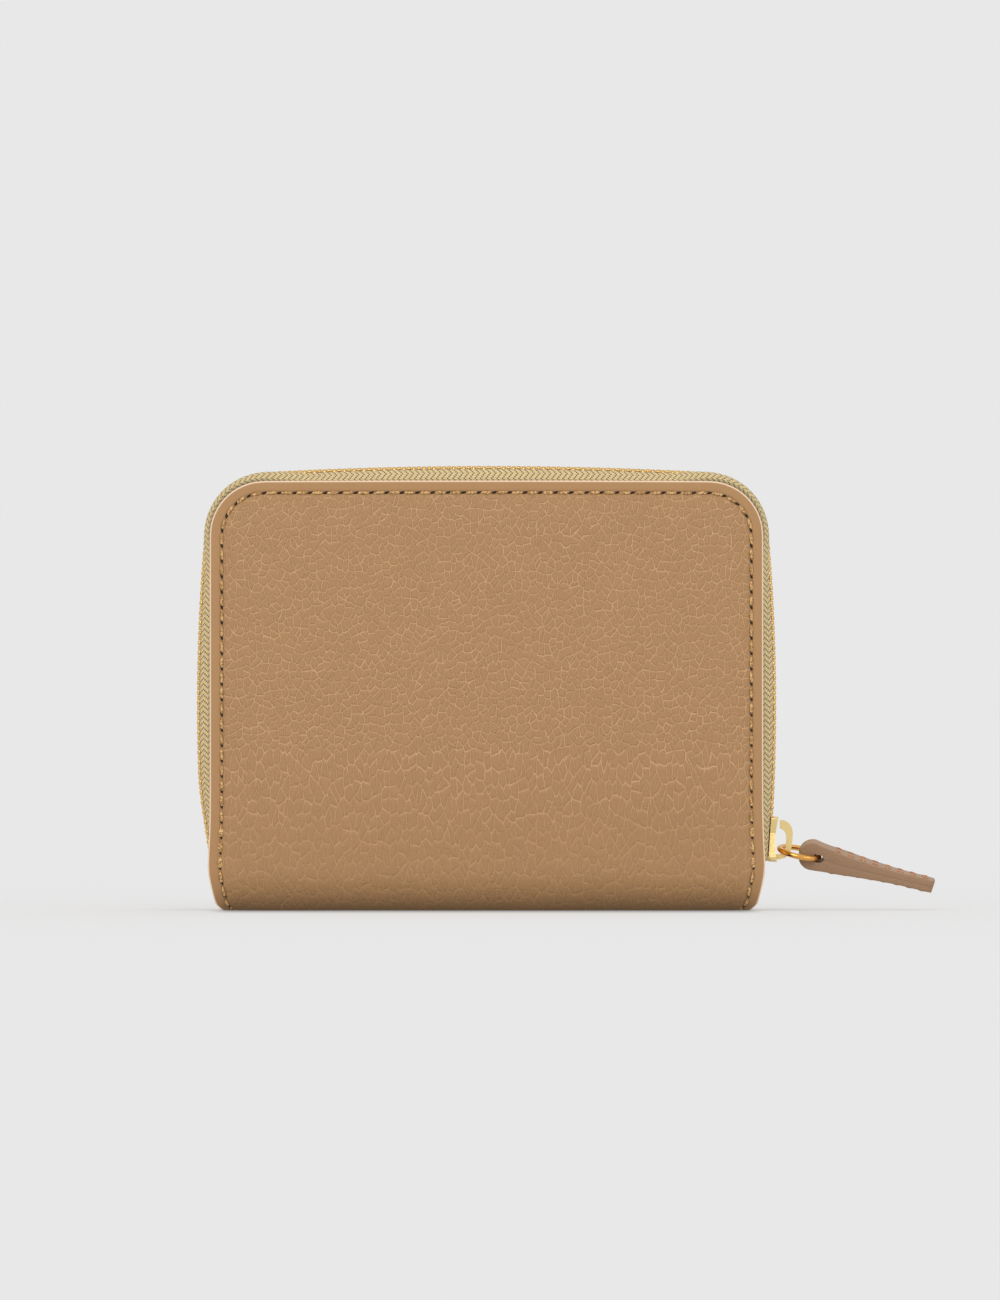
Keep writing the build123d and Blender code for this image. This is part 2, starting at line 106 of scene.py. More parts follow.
# %% Helpers for shapes
def ease(low, high, value):
    """0 up to low, 1 from high on, and an S-curve in between."""
    share = np.clip((value - low) / (high - low), 0, 1)
    return share * share * (3 - 2 * share)


def distance_along(line):
    """How far each point of a line lies from the line's start, along it."""
    return np.concatenate([[0.0], np.cumsum(np.linalg.norm(np.diff(line, axis=0), axis=1))])


def grid_faces(rows, columns, around=False, over=False):
    """The four-sided faces of a grid of points, joined round its columns or over its rows if asked."""
    faces = []
    for r in range(rows if over else rows - 1):
        for c in range(columns if around else columns - 1):
            right, above = (c + 1) % columns, (r + 1) % rows
            low, high = r * columns, above * columns
            faces.append([low + c, low + right, high + right, high + c])
    return faces


def turned_round(faces):
    """The same faces, looking the other way."""
    return [list(reversed(face)) for face in faces]


def make_piece(name, points, faces, finish, values=None, uv=None):
    """A smooth mesh piece from points in millimetres, with any values that its finish reads."""
    mesh = bpy.data.meshes.new(name)
    mesh.from_pydata((np.asarray(points, float) * MM).tolist(), [], [list(face) for face in faces])
    mesh.validate()
    mesh.materials.append(finish)
    mesh.polygons.foreach_set("use_smooth", [True] * len(mesh.polygons))
    for key, column in (values or {}).items():
        layer = mesh.attributes.new(key, "FLOAT", "POINT")
        layer.data.foreach_set("value", np.asarray(column, np.float32))
    if uv is not None:
        layer = mesh.uv_layers.new(name="cloth")
        corners = np.zeros(len(mesh.loops), int)
        mesh.loops.foreach_get("vertex_index", corners)
        layer.data.foreach_set("uv", np.asarray(uv, np.float32)[corners].ravel())
    piece = bpy.data.objects.new(name, mesh)
    bpy.context.scene.collection.objects.link(piece)
    print(f"{name}: {len(mesh.vertices)} points, {len(mesh.polygons)} faces")
    return piece


# %% [markdown]
# # Finishes
# A finish is a small network of nodes. Wiring it by hand is slow to read, so one class wraps a socket
# and lets shader maths be written as ordinary sums: `1 - mask * 0.5` adds two Math nodes.

# %% Write shader maths as sums
class Value:
    """A socket that gives a number, and can be added, multiplied and divided like one."""

    def __init__(self, tree, socket):
        self.tree, self.socket = tree, socket

    def math(self, operation, *values):
        node = self.tree.nodes.new("ShaderNodeMath")
        node.operation = operation
        for socket, value in zip(node.inputs, values):
            connect(self.tree, socket, value)
        return Value(self.tree, node.outputs[0])

    def __add__(self, other):
        return self.math("ADD", self, other)

    def __sub__(self, other):
        return self.math("SUBTRACT", self, other)

    def __rsub__(self, other):
        return self.math("SUBTRACT", other, self)

    def __mul__(self, other):
        return self.math("MULTIPLY", self, other)

    def __truediv__(self, other):
        return self.math("DIVIDE", self, other)

    __radd__ = __add__
    __rmul__ = __mul__


def connect(tree, socket, value):
    """Links a value to a socket, or sets the socket if the value is a plain number or colour."""
    if isinstance(value, Value):
        tree.links.new(value.socket, socket)
    elif socket.type == "RGBA":
        socket.default_value = (*value, 1.0)
    else:
        socket.default_value = value


# %% [markdown]
# A `Finish` holds one material and its Principled shader. Its `node` method makes any node from its
# type, its settings and its sockets, and the short methods after it name the few patterns that leather,
# cloth and metal need: noise, cells, a soft step, a blend of colours and a bump.

# %% Build a finish
def srgb(red, green, blue):
    """A colour given as on a colour chart, from 0 to 255, as the linear numbers that a shader uses."""
    return tuple(((c / 255 + 0.055) / 1.055) ** 2.4 for c in (red, green, blue))


class Finish:
    """A material while it is being made."""

    def __init__(self, name, **sockets):
        self.material = bpy.data.materials.new(name)
        self.material.use_nodes = True
        self.tree = self.material.node_tree
        self.shader = self.tree.nodes["Principled BSDF"]
        self.set(**sockets)
        self.place = self.node("ShaderNodeTexCoord", out="Object")

    def set(self, **sockets):
        for name, value in sockets.items():
            connect(self.tree, self.shader.inputs[name.replace("_", " ")], value)

    def node(self, kind, settings=None, sockets=None, out=0):
        made = self.tree.nodes.new(kind)
        for name, value in (settings or {}).items():
            setattr(made, name, value)
        for name, value in (sockets or {}).items():
            connect(self.tree, made.inputs[name], value)
        return Value(self.tree, made.outputs[out])

    def stretch(self, by):
        """The place on the piece in millimetres, stretched by three numbers."""
        scale = [number / MM for number in by]
        return self.node("ShaderNodeVectorMath", {"operation": "MULTIPLY"}, {0: self.place, 1: scale})

    def shift(self, place, by, amount):
        """A place pushed about by a noise's colour, so that a pattern wanders."""
        moved = self.node("ShaderNodeVectorMath", {"operation": "SCALE"}, {0: by, "Scale": amount})
        return self.node("ShaderNodeVectorMath", {"operation": "ADD"}, {0: place, 1: moved})

    def noise(self, place, scale, detail=2.0, out="Fac"):
        return self.node("ShaderNodeTexNoise", {}, {"Vector": place, "Scale": scale, "Detail": detail}, out)

    def cells(self, place, scale, feature="DISTANCE_TO_EDGE", out="Distance"):
        """Cells on a flat place, so that their walls are cut square and stay thin."""
        settings = {"feature": feature, "voronoi_dimensions": "2D"}
        return self.node("ShaderNodeTexVoronoi", settings, {"Vector": place, "Scale": scale}, out)

    def step(self, value, low, high, start=0.0, end=1.0):
        """A soft step from start to end while value goes from low to high."""
        sockets = {"Value": value, "From Min": low, "From Max": high, "To Min": start, "To Max": end}
        return self.node("ShaderNodeMapRange", {"interpolation_type": "SMOOTHSTEP"}, sockets)

    def blend(self, share, first, second):
        """One colour at share 0 and another at share 1."""
        settings = {"data_type": "RGBA"}
        return self.node("ShaderNodeMix", settings, {0: share, 6: first, 7: second}, 2)

    def shade(self, colour, amount):
        """A colour made darker or lighter by a number about 1."""
        grey = self.node("ShaderNodeCombineColor", {}, {0: amount, 1: amount, 2: amount})
        settings = {"data_type": "RGBA", "blend_type": "MULTIPLY"}
        return self.node("ShaderNodeMix", settings, {0: 1.0, 6: colour, 7: grey}, 2)

    def attribute(self, name):
        return self.node("ShaderNodeAttribute", {"attribute_name": name}, {}, "Fac")

    def bump(self, height, depth_mm):
        """Raises the surface by height, where 1 stands for depth_mm."""
        self.set(Normal=self.node("ShaderNodeBump", {}, {"Height": height, "Distance": depth_mm * MM}))


# %% [markdown]
# ## Grained leather
# The cover is a full-grain hide. Its surface is a net of fine creases between soft pebbles, and the
# creases are painted a little paler than the pebbles: a painted highlight along them. Cells from a
# Voronoi pattern give the net and noise bends it. A coarser net adds the longer creases and a finer one
# the pores. Lower down the hide is pulled round the fold, so there the cells are drawn out upwards and
# fade. Beside the stitches the hide is pressed smooth, and its cut edge is painted and polished. The
# `rim` value of each point, its distance from the edge, tells the finish where that happens. The UV map
# is the hide laid flat, in millimetres, so the grain turns round the fold with the leather.

# %% Finish the cover leather
PEBBLE, LONG_CREASE, PORE = 0.68, 0.3, 1.7  # cells to a millimetre
FADE_LOW, FADE_HIGH = 14.0, 46.0  # up the hide, the creases gain strength from one to the other
DRAWN_BELOW = 42.0  # up the hide, the cells are drawn out below this
DRAWN_SHARE, EVEN_SHARE = 0.48, 0.82  # how closely the cells follow each other below and above it
PRESSED, GRAINED = 2.5, 3.5  # distances from the edge
GRAIN_DEPTH = 0.17


def grained_leather(name, cell, crease, edge):
    """Leather with its grain, a painted highlight along its creases, its pressed border and its painted
    edge.
    """
    f = Finish(name, Specular_IOR_Level=0.35)
    rim = f.attribute("rim")
    place = f.node("ShaderNodeTexCoord", out="UV")
    wander = f.noise(place, 0.5, 2.0, "Color")
    bent = f.shift(place, wander, 1.1)
    height, across = (f.node("ShaderNodeSeparateXYZ", {}, {0: bent}, axis) for axis in ("X", "Y"))
    drawn = height.math("MINIMUM", height, DRAWN_BELOW) * DRAWN_SHARE
    even = height.math("MAXIMUM", height, DRAWN_BELOW) * EVEN_SHARE
    pebbled = f.node("ShaderNodeCombineXYZ", {}, {"X": drawn + even, "Y": across * 1.1})
    low = 1 - f.step(height, FADE_LOW, FADE_HIGH)
    net = f.cells(pebbled, PEBBLE)
    wide = f.cells(bent, LONG_CREASE)
    tiny = f.cells(bent, PORE)
    patches = f.noise(place, 0.09, 2.0)
    fine = f.noise(place, 3.6, 3.0)
    strength = f.step(f.noise(place, 0.3, 2.0), 0.34, 0.6, 0.5, 1.0) * (1 - low * 0.55)
    field = f.step(rim, PRESSED, GRAINED, 0.06, 1.0)
    line = (1 - f.step(net, 0.01, 0.065)) * strength * field
    deep = (1 - f.step(wide, 0.0, 0.022)) * field * (1 - low * 0.5)
    faint = (1 - f.step(tiny, 0.0, 0.1)) * field
    pebble = f.cells(pebbled, PEBBLE, "F1", "Color")
    tone = 0.99 - field * 0.05 + f.noise(pebble, 2.0) * 0.08 + patches * 0.08 + (fine - 0.5) * 0.06
    # Painted highlight: the crease lines are blended towards the pale crease colour.
    crease_highlight = line * 0.8 + deep * 0.16 + faint * 0.2 * (1 - low)
    hide = f.blend(crease_highlight, f.shade(cell, tone), crease)
    paint = 1 - f.step(rim, 0.2, 0.34)
    f.set(Base_Color=f.blend(paint, hide, edge))
    f.set(Roughness=0.5 + fine * 0.14 - paint * 0.12)
    dome = f.step(net, 0.0, 0.24) * (0.75 - low * 0.3)
    dome = dome + f.step(wide, 0.0, 0.06) * 0.25 + f.step(tiny, 0.0, 0.2) * 0.12
    f.bump((dome * field + fine * 0.14) * (1 - paint), GRAIN_DEPTH)
    return f.material


TAN, CREASE_HIGHLIGHT_TAN, EDGE_PAINT = srgb(164, 125, 84), srgb(205, 165, 124), srgb(236, 204, 175)
COVER_LEATHER = grained_leather("cover_leather", TAN, CREASE_HIGHLIGHT_TAN, EDGE_PAINT)
print("cover leather ready")

# %% [markdown]
# The pull and the pockets are cut from a smoother hide. It has only pores and faint creases, so noise on
# the place in millimetres is enough. The pull's raw edge is painted brown, and where the strap turns
# round the ring it takes on a greenish khaki.

# %% Finish the smooth leather
def smooth_leather(name, colour, crease, edge=None, loop=None):
    """Leather with pores, and a painted edge and a coloured loop where the piece has them."""
    f = Finish(name, Specular_IOR_Level=0.4)
    place = f.stretch((1.0, 1.0, 1.0))
    pores = f.noise(place, 3.4, 3.0)
    patches = f.noise(place, 0.25, 2.0)
    net = f.step(f.noise(place, 1.8, 3.0), 0.55, 0.7)
    hide = f.blend(net * 0.3, f.shade(colour, 0.9 + patches * 0.14 + pores * 0.06), crease)
    if edge is not None:
        hide = f.blend(1 - f.step(f.attribute("rim"), 0.1, 0.24), hide, f.shade(edge, 0.85 + pores * 0.3))
        hide = f.blend(f.attribute("loop") * 0.8, hide, loop)
    f.set(Base_Color=hide)
    f.set(Roughness=0.46 + pores * 0.14)
    f.bump(pores * 0.5 - net * 0.6, 0.06)
    return f.material


pull_colours = srgb(166, 132, 102), srgb(186, 150, 118), srgb(150, 118, 90), srgb(146, 136, 84)
PULL_LEATHER = smooth_leather("pull_leather", *pull_colours)
POCKET_LEATHER = smooth_leather("pocket_leather", srgb(158, 118, 82), srgb(180, 140, 104))
print("smooth leather ready")

# %% [markdown]
# ## Woven zip tape
# A zip tape is a strong twill: each lengthwise thread floats over three crosswise ones and dips under
# the fourth, and its neighbour does so one thread later. That makes slanting rows of small gaps, which
# are painted dark as painted shade, and each thread is painted darker towards its sides and where it
# dips, which is painted shade too.
# The pattern is counted on the tape's own UV map, laid out in millimetres of cloth, so it follows the
# zip round its corners. Every few threads the slant turns back, which gives the herringbone. Where the
# tape is tucked in behind the cover, little light reaches it, so the cloth is shaded darker there.

# %% Finish the zip tape
HERRINGBONE = 3.0  # threads before the slant turns back
NEVER_TUCKED = (90.0, 91.0)


def twill(name, thread, gap, width, float_length, depth, tucked=NEVER_TUCKED):
    """Woven cloth, counted in threads across and along the piece's own UV map."""
    f = Finish(name, Specular_IOR_Level=0.3)
    cloth = f.node("ShaderNodeTexCoord", out="UV")
    along = f.node("ShaderNodeSeparateXYZ", {}, {0: cloth}, "X")
    from_edge = f.node("ShaderNodeSeparateXYZ", {}, {0: cloth}, "Y")
    across = from_edge / width
    column = across.math("FLOOR", across)
    side = across.math("FRACT", across) - 0.5
    slant = column.math("PINGPONG", column, HERRINGBONE)
    run = along / float_length + slant * 0.25
    ahead = run.math("FRACT", run) - 0.5
    round_side = 1 - side * side * 4
    dip = f.step(ahead.math("ABSOLUTE", ahead), 0.33, 0.46)
    raised = round_side * (1 - dip)
    fuzz = f.noise(f.place, 5200.0, 2.0)
    # Painted shade: the gaps between threads get the dark gap colour, and each thread is darker towards its
    # sides and where it dips.
    hole = dip * f.step(round_side, 0.1, 0.5)
    shaded = f.blend(f.step(raised, 0.0, 0.7, 0.25, 1.0), f.shade(thread, 0.62), thread)
    colour = f.blend(hole * 0.9, shaded, gap)
    dim = 0.88 + fuzz * 0.24 - f.step(from_edge, *tucked) * 0.5
    f.set(Base_Color=f.shade(colour, dim))
    f.set(Roughness=0.72 + fuzz * 0.1)
    f.bump(raised + fuzz * 0.12, depth)
    return f.material


TAPE_CLOTH = twill("zip_tape_twill", srgb(228, 204, 152), srgb(96, 70, 34), 0.6, 1.1, 0.16, (7.2, 8.8))
LINING_CLOTH = twill("lining_twill", srgb(128, 97, 68), srgb(72, 52, 36), 0.5, 1.6, 0.1)
print("twills ready")

# %% [markdown]
# ## Metal, thread and the small rest
# The zip and slider are plated a pale gold and lightly brushed, and the ring is a warmer polished gold.
# A metal's look is mostly what it mirrors, so its colour hardly varies: a cloud of slightly different
# tone, and fine scratches that spread the shine.

# %% Finish the metal
def gold(name, colour, roughness, brushed):
    """Plated metal with a little wear, so that its shine isn't the same all over."""
    f = Finish(name, Metallic=1.0)
    place = f.stretch((1.0, 1.0, 1.0))
    cloud = f.noise(place, 0.5, 3.0)
    scratch = f.noise(f.stretch((6.0, 6.0, 0.8)), 1.5, 4.0)
    f.set(Base_Color=f.shade(colour, 0.92 + cloud * 0.14))
    f.set(Roughness=roughness + (scratch - 0.5) * brushed)
    f.bump(scratch, 0.012)
    return f.material


SATIN_GOLD = gold("satin_gold", srgb(238, 212, 150), 0.36, 0.2)
TOOTH_GOLD = gold("tooth_gold", srgb(230, 190, 118), 0.26, 0.1)
RING_GOLD = gold("ring_gold", srgb(232, 172, 92), 0.2, 0.08)
print("gold ready")

# %% [markdown]
# Thread is two waxed plies, so its colour changes along the twist. A needle hole's finish is very dark:
# painted shade for the depth of the hole.
# The stiff board and the coin pocket's cloth hardly show, and share one plain mottled finish.

# %% Finish the thread, the needle holes and the plain pieces
def waxed_thread(name, colour, dark):
    """Thread whose plies show as a change between two tones."""
    f = Finish(name, Specular_IOR_Level=0.5, Sheen_Weight=0.15)
    place = f.stretch((1.0, 1.0, 1.0))
    ply = f.noise(place, 2.6, 2.0)
    f.set(Base_Color=f.blend(f.step(ply, 0.42, 0.6), dark, colour))
    f.set(Roughness=0.42 + ply * 0.2)
    f.bump(f.noise(place, 7.0, 2.0), 0.03)
    return f.material


def plain(name, colour, mark, roughness, scale, relief):
    """A simple finish of one colour, mottled with a second."""
    f = Finish(name)
    speck = f.noise(f.stretch((1.0, 1.0, 1.0)), scale, 4.0)
    f.set(Base_Color=f.blend(f.step(speck, 0.35, 0.65), colour, mark))
    f.set(Roughness=roughness + speck * 0.1)
    f.bump(speck, relief)
    return f.material


THREAD = waxed_thread("seam_thread", srgb(218, 180, 120), srgb(150, 108, 58))
PULL_THREAD = waxed_thread("pull_thread", srgb(206, 138, 84), srgb(150, 90, 48))
# Painted shade: the needle holes get a near-black finish that stands for the shade in each hole.
HOLE_SHADE = plain("needle_hole", srgb(22, 14, 9), srgb(34, 22, 14), 0.8, 3.0, 0.01)
BOARD = plain("pressed_board", srgb(150, 138, 118), srgb(122, 110, 92), 0.8, 1.2, 0.05)
COIN_CLOTH = plain("coin_pocket_cloth", srgb(134, 102, 72), srgb(108, 82, 58), 0.78, 3.0, 0.03)
print("thread, holes, board and coin cloth ready")

# %% [markdown]
# # The cover
# The cover is one piece of hide, cut flat with round top corners and turned round the spine. So it is
# drawn flat and then bent: a point is known by how far it lies across and how far up along the leather,
# and `on_fold` says where that comes to once the hide is turned.

# %% Turn a flat place round the spine
def on_fold(up, depth):
    """y and z of a place this far up the leather from the spine's middle and this deep, at the front."""
    turn = np.clip((up - FOOT) / FOLD, 0, math.pi / 2)
    radius = FOLD - depth
    y = -np.minimum(up, FOOT) - radius * np.sin(turn)
    z = FOLD - radius * np.cos(turn) + np.maximum(up - FOOT - ARC, 0)
    return y, z


def edge_share(z):
    """The cover's half width at a height, as a share: a slight waist above the narrowed spine."""
    waist = WAIST_FLARE * np.exp(-(((z - WAIST_HEIGHT) / WAIST_REACH) ** 2))
    tapered = SPINE_NARROWING * (1 - np.clip(z / WAIST_HEIGHT, 0, 1)) ** 1.2
    rounded = SPINE_ROUND * (1 - ease(-0.4, 1.6, z))
    return 1 + (waist - tapered - rounded) / HALF_WIDTH


def place_on_cover(across, up, depth):
    """A place on the front cover, from its flat measures."""
    y, z = on_fold(up, depth)
    crown = CROWN * (1 - (across / HALF_WIDTH) ** 2) * ease(0.6 * TOP, TOP, z)
    return np.stack([across * edge_share(z), y, z + crown], -1)


# %% [markdown]
# The grid of points runs beside the edge as evenly spaced loops, close together where the edge is
# rounded and where the stitches pull the leather down. At a corner the square loops are turned into
# quarter circles: the longer of the two distances from the corner's centre becomes the radius.

# %% Lay out a sheet with loops along its edge
ROUNDED_LOOPS = (0.0, 0.03, 0.12, 0.26, 0.45, 0.9, 1.5)
SEAM_LOOPS = (1.9, 2.1, 2.25, 2.4, 2.55, 2.7, 2.95)
FIELD_LOOPS = (3.4, 4.2, 5.4, 7.0, 8.6)
EDGE_LOOPS = ROUNDED_LOOPS + SEAM_LOOPS + FIELD_LOOPS


def sheet_grid(inset, loops, spacing):
    """Across, up and rim distance of a grid over the flat cover, this far inside its outline."""
    half, rise, corner = HALF_WIDTH - inset, RISE - inset, CORNER - inset
    near = np.array([loop for loop in loops if loop < corner])
    side = np.concatenate([near, np.linspace(corner, half, int((half - corner) / spacing) + 1)])
    top = np.concatenate([near, np.linspace(corner, rise, int((rise - corner) / spacing) + 1)])
    signs = np.concatenate([-np.ones(len(side)), np.ones(len(side) - 1)])
    from_side = np.concatenate([side, side[-2::-1]])
    from_side, from_top = np.meshgrid(from_side, top[::-1])
    p, q = corner - from_side, corner - from_top
    in_corner = (p > 0) & (q > 0)
    radius = np.maximum(p, q)
    share = np.minimum(p, q) / np.maximum(radius, 1e-9) * math.pi / 4
    angle = np.where(p >= q, share, math.pi / 2 - share)
    across = half - from_side + np.where(in_corner, radius * np.cos(angle) - p, 0)
    up = rise - from_top + np.where(in_corner, radius * np.sin(angle) - q, 0)
    rim = np.where(in_corner, corner - radius, np.minimum(from_side, from_top))
    return signs * across, up, rim


def shell_faces(rows, columns):
    """Faces of an outer and an inner grid and of the wall that joins them round the edge."""
    count = rows * columns
    outer = grid_faces(rows, columns)
    inner = [[count + corner for corner in face] for face in turned_round(outer)]
    bottom = list(range(columns))
    right = [r * columns + columns - 1 for r in range(1, rows)]
    top = [(rows - 1) * columns + c for c in range(columns - 2, -1, -1)]
    left = [r * columns for r in range(rows - 2, 0, -1)]
    loop = bottom + right + top + left
    wall = [[b, a, count + a, count + b] for a, b in zip(loop, loop[1:] + loop[:1])]
    return outer + inner + wall


# %% [markdown]
# Both faces of the leather come from that grid. Relief is added to the outer one: the edge is rounded,
# the seam is pulled down into a valley, the field inside it swells a little over its padding, and slow
# waves keep a large flat hide from looking like card. The back cover is the front one mirrored.

# %% Shape the cover leather
EDGE_ROUND = 0.45
SEAM_INSET = 2.4
SEAM_DEPTH = 0.38
SEAM_VALLEY = 0.32  # half the width of the valley that the stitches lie in
SWELL = 0.28


def rounded_edge(rim, radius):
    return radius - np.sqrt(np.maximum(radius**2 - np.maximum(radius - rim, 0) ** 2, 0))


def hide_relief(across, up, rim):
    """How deep the outer face of the cover lies below its plain place."""
    valley = SEAM_DEPTH * np.exp(-(((rim - SEAM_INSET) / SEAM_VALLEY) ** 2))
    waves = 0.09 * np.sin(across * 0.105 + 0.6) * np.sin(up * 0.083)
    waves += 0.05 * np.sin(across * 0.23 - up * 0.17)
    swell = (SWELL + waves) * ease(2.6, 9.0, rim)
    return rounded_edge(rim, EDGE_ROUND) + valley - swell


def mirrored(points, faces):
    """The same shape at the back, with its faces still outwards."""
    return points * np.array([1, -1, 1]), turned_round(faces)


def folded_sheet(name, side, inset, depth, thickness, relief, spacing, finish):
    """A sheet that follows the cover from the spine's middle to the top, as a closed thin shell."""
    across, up, rim = sheet_grid(inset, EDGE_LOOPS, spacing)
    outer = place_on_cover(across, up, depth + relief(across, up, rim))
    inner = place_on_cover(across, up, depth + thickness - rounded_edge(rim, 0.3 * thickness))
    points = np.concatenate([outer.reshape(-1, 3), inner.reshape(-1, 3)])
    faces = shell_faces(*rim.shape)
    if side == "back":
        points, faces = mirrored(points, faces)
    uv = np.tile(np.stack([up.ravel(), across.ravel()], -1), (2, 1))
    return make_piece(name, points, faces, finish, {"rim": np.tile(rim.ravel(), 2)}, uv)


# %% [markdown]
# The covers turn on folds at the two lower corners of the spine. The leather crosses each fold, so it
# can't ride on one body. `bend_at_fold` sets up no bend: it only bakes a piece's place into its points,
# so the covers, their seams and the linings ride on no body.

# %% Make the covers
COVER_SPACING = 1.8


def bend_at_fold(piece, side):
    """Bakes a piece's place into its points; no bend between the spine and a cover is set up."""
    sign = -1 if side == "front" else 1
    start = (0.0, sign * (HALF_DEPTH - FOLD + 1.0) * MM, 0.0)
    end = (0.0, sign * HALF_DEPTH * MM, (FOLD - 1.0) * MM)
    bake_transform(piece)


for side in ("front", "back"):
    shape = (0.0, 0.0, LEATHER, hide_relief, COVER_SPACING)
    cover = folded_sheet(f"{side}_cover", side, *shape, COVER_LEATHER)
    bend_at_fold(cover, side)
    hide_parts(f"{side}_cover_leather", "spine_leather")

# %% [markdown]
# # What repeats along a line
# Stitches, needle holes and zip teeth are one shape repeated along a path, which is what Geometry Nodes
# do well. One tree serves them all. Its input is a path whose points know which way is outwards; it
# spreads a number of points along the path, turns a copy of the shape to each, adds a little seeded
# unevenness, and gives back real mesh. The path can be edited and every stitch follows.

# %% Build the tree that repeats a shape along a path
def repeater_tree():
    tree = bpy.data.node_groups.new("repeat_along_path", "GeometryNodeTree")
    tree.interface.new_socket("Geometry", in_out="INPUT", socket_type="NodeSocketGeometry")
    for name, kind in (
        ("Shape", "NodeSocketObject"),
        ("Count", "NodeSocketInt"),
        ("Slant", "NodeSocketFloat"),
        ("Unevenness", "NodeSocketFloat"),
        ("Thick From", "NodeSocketFloat"),
        ("Thick To", "NodeSocketFloat"),
        ("Thickening", "NodeSocketFloat"),
        ("Part After", "NodeSocketFloat"),
        ("Part Slope", "NodeSocketFloat"),
        ("Pitch", "NodeSocketFloat"),
        ("Seed", "NodeSocketInt"),
        ("Finish", "NodeSocketMaterial"),
    ):
        tree.interface.new_socket(name, in_out="INPUT", socket_type=kind)
    tree.interface.new_socket("Geometry", in_out="OUTPUT", socket_type="NodeSocketGeometry")

    def node(kind, settings=None, sockets=None):
        made = tree.nodes.new(kind)
        for key, value in (settings or {}).items():
            setattr(made, key, value)
        for key, value in (sockets or {}).items():
            if isinstance(value, bpy.types.NodeSocket):
                tree.links.new(value, made.inputs[key])
            else:
                made.inputs[key].default_value = value
        return made

    def math_node(operation, *values):
        return node("ShaderNodeMath", {"operation": operation}, dict(enumerate(values))).outputs[0]

    given = node("NodeGroupInput").outputs
    curve = node("GeometryNodeMeshToCurve", {}, {"Mesh": given["Geometry"]}).outputs[0]
    spread = {"Curve": curve, "Count": given["Count"]}
    spaced = node("GeometryNodeResampleCurve", {"mode": "COUNT"}, spread).outputs[0]
    number = node("GeometryNodeInputIndex").outputs[0]
    outward = node("GeometryNodeInputNamedAttribute", {"data_type": "FLOAT_VECTOR"}, {"Name": "outward"})
    tangent = node("GeometryNodeInputTangent").outputs[0]
    turned = node("FunctionNodeAlignRotationToVector", {"axis": "X"}, {"Vector": tangent})
    facing = {"Rotation": turned.outputs[0], "Vector": outward.outputs[0]}
    turned = node("FunctionNodeAlignRotationToVector", {"axis": "Z", "pivot_axis": "X"}, facing)

    steps_left = math_node("SUBTRACT", given["Part After"], number)
    apart = math_node("MAXIMUM", math_node("MULTIPLY", steps_left, given["Pitch"]), 0.0)
    sideways = math_node("MULTIPLY", apart, given["Part Slope"])
    offset = node("ShaderNodeCombineXYZ", {}, {"Y": sideways}).outputs[0]
    moved = node("GeometryNodeSetPosition", {}, {"Geometry": spaced, "Offset": offset}).outputs[0]
    near = math_node("MINIMUM", math_node("DIVIDE", apart, given["Pitch"]), 1.0)
    parting_turn = math_node("MULTIPLY", math_node("ARCTANGENT", given["Part Slope"]), near)

    least = math_node("MULTIPLY", given["Unevenness"], -1.0)
    chance = node("FunctionNodeRandomValue", {"data_type": "FLOAT"})
    for key, value in (("Min", least), ("Max", given["Unevenness"]), ("Seed", given["Seed"])):
        tree.links.new(value, next(s for s in chance.inputs if s.name == key and s.enabled))
    jitter = next(s for s in chance.outputs if s.enabled)
    turn = math_node("ADD", math_node("ADD", given["Slant"], jitter), parting_turn)
    about = node("ShaderNodeCombineXYZ", {}, {"Z": turn}).outputs[0]
    twist = node("FunctionNodeEulerToRotation", {}, {"Euler": about}).outputs[0]
    both = {"Rotation": turned.outputs[0], "Rotate By": twist}
    placed = node("FunctionNodeRotateRotation", {"rotation_space": "LOCAL"}, both).outputs[0]

    position = node("GeometryNodeInputPosition").outputs[0]
    height = node("ShaderNodeSeparateXYZ", {}, {0: position}).outputs["Z"]
    above = math_node("GREATER_THAN", height, given["Thick From"])
    below = math_node("LESS_THAN", height, given["Thick To"])
    thick = math_node("MULTIPLY", math_node("MULTIPLY", above, below), given["Thickening"])
    wide = math_node("ADD", thick, 1.0)
    scale = node("ShaderNodeCombineXYZ", {}, {"X": 1.0, "Y": wide, "Z": 1.0}).outputs[0]
    shape = node("GeometryNodeObjectInfo", {}, {"Object": given["Shape"]}).outputs["Geometry"]
    copies = {"Points": moved, "Instance": shape, "Rotation": placed, "Scale": scale}
    repeated = node("GeometryNodeInstanceOnPoints", {}, copies).outputs[0]
    real = node("GeometryNodeRealizeInstances", {}, {"Geometry": repeated}).outputs[0]
    painted = node("GeometryNodeSetMaterial", {}, {"Geometry": real, "Material": given["Finish"]})
    node("NodeGroupOutput", {}, {"Geometry": painted.outputs[0]})
    return tree


REPEATER = repeater_tree()
print("repeater:", len(REPEATER.nodes), "nodes")

# %% [markdown]
# The tree works on an object, so `repeat` makes one from a path, sets each input by its socket's
# identifier, reads the evaluated result once and keeps that as a plain mesh. The path and the modifier
# are then removed: nothing live is left behind.

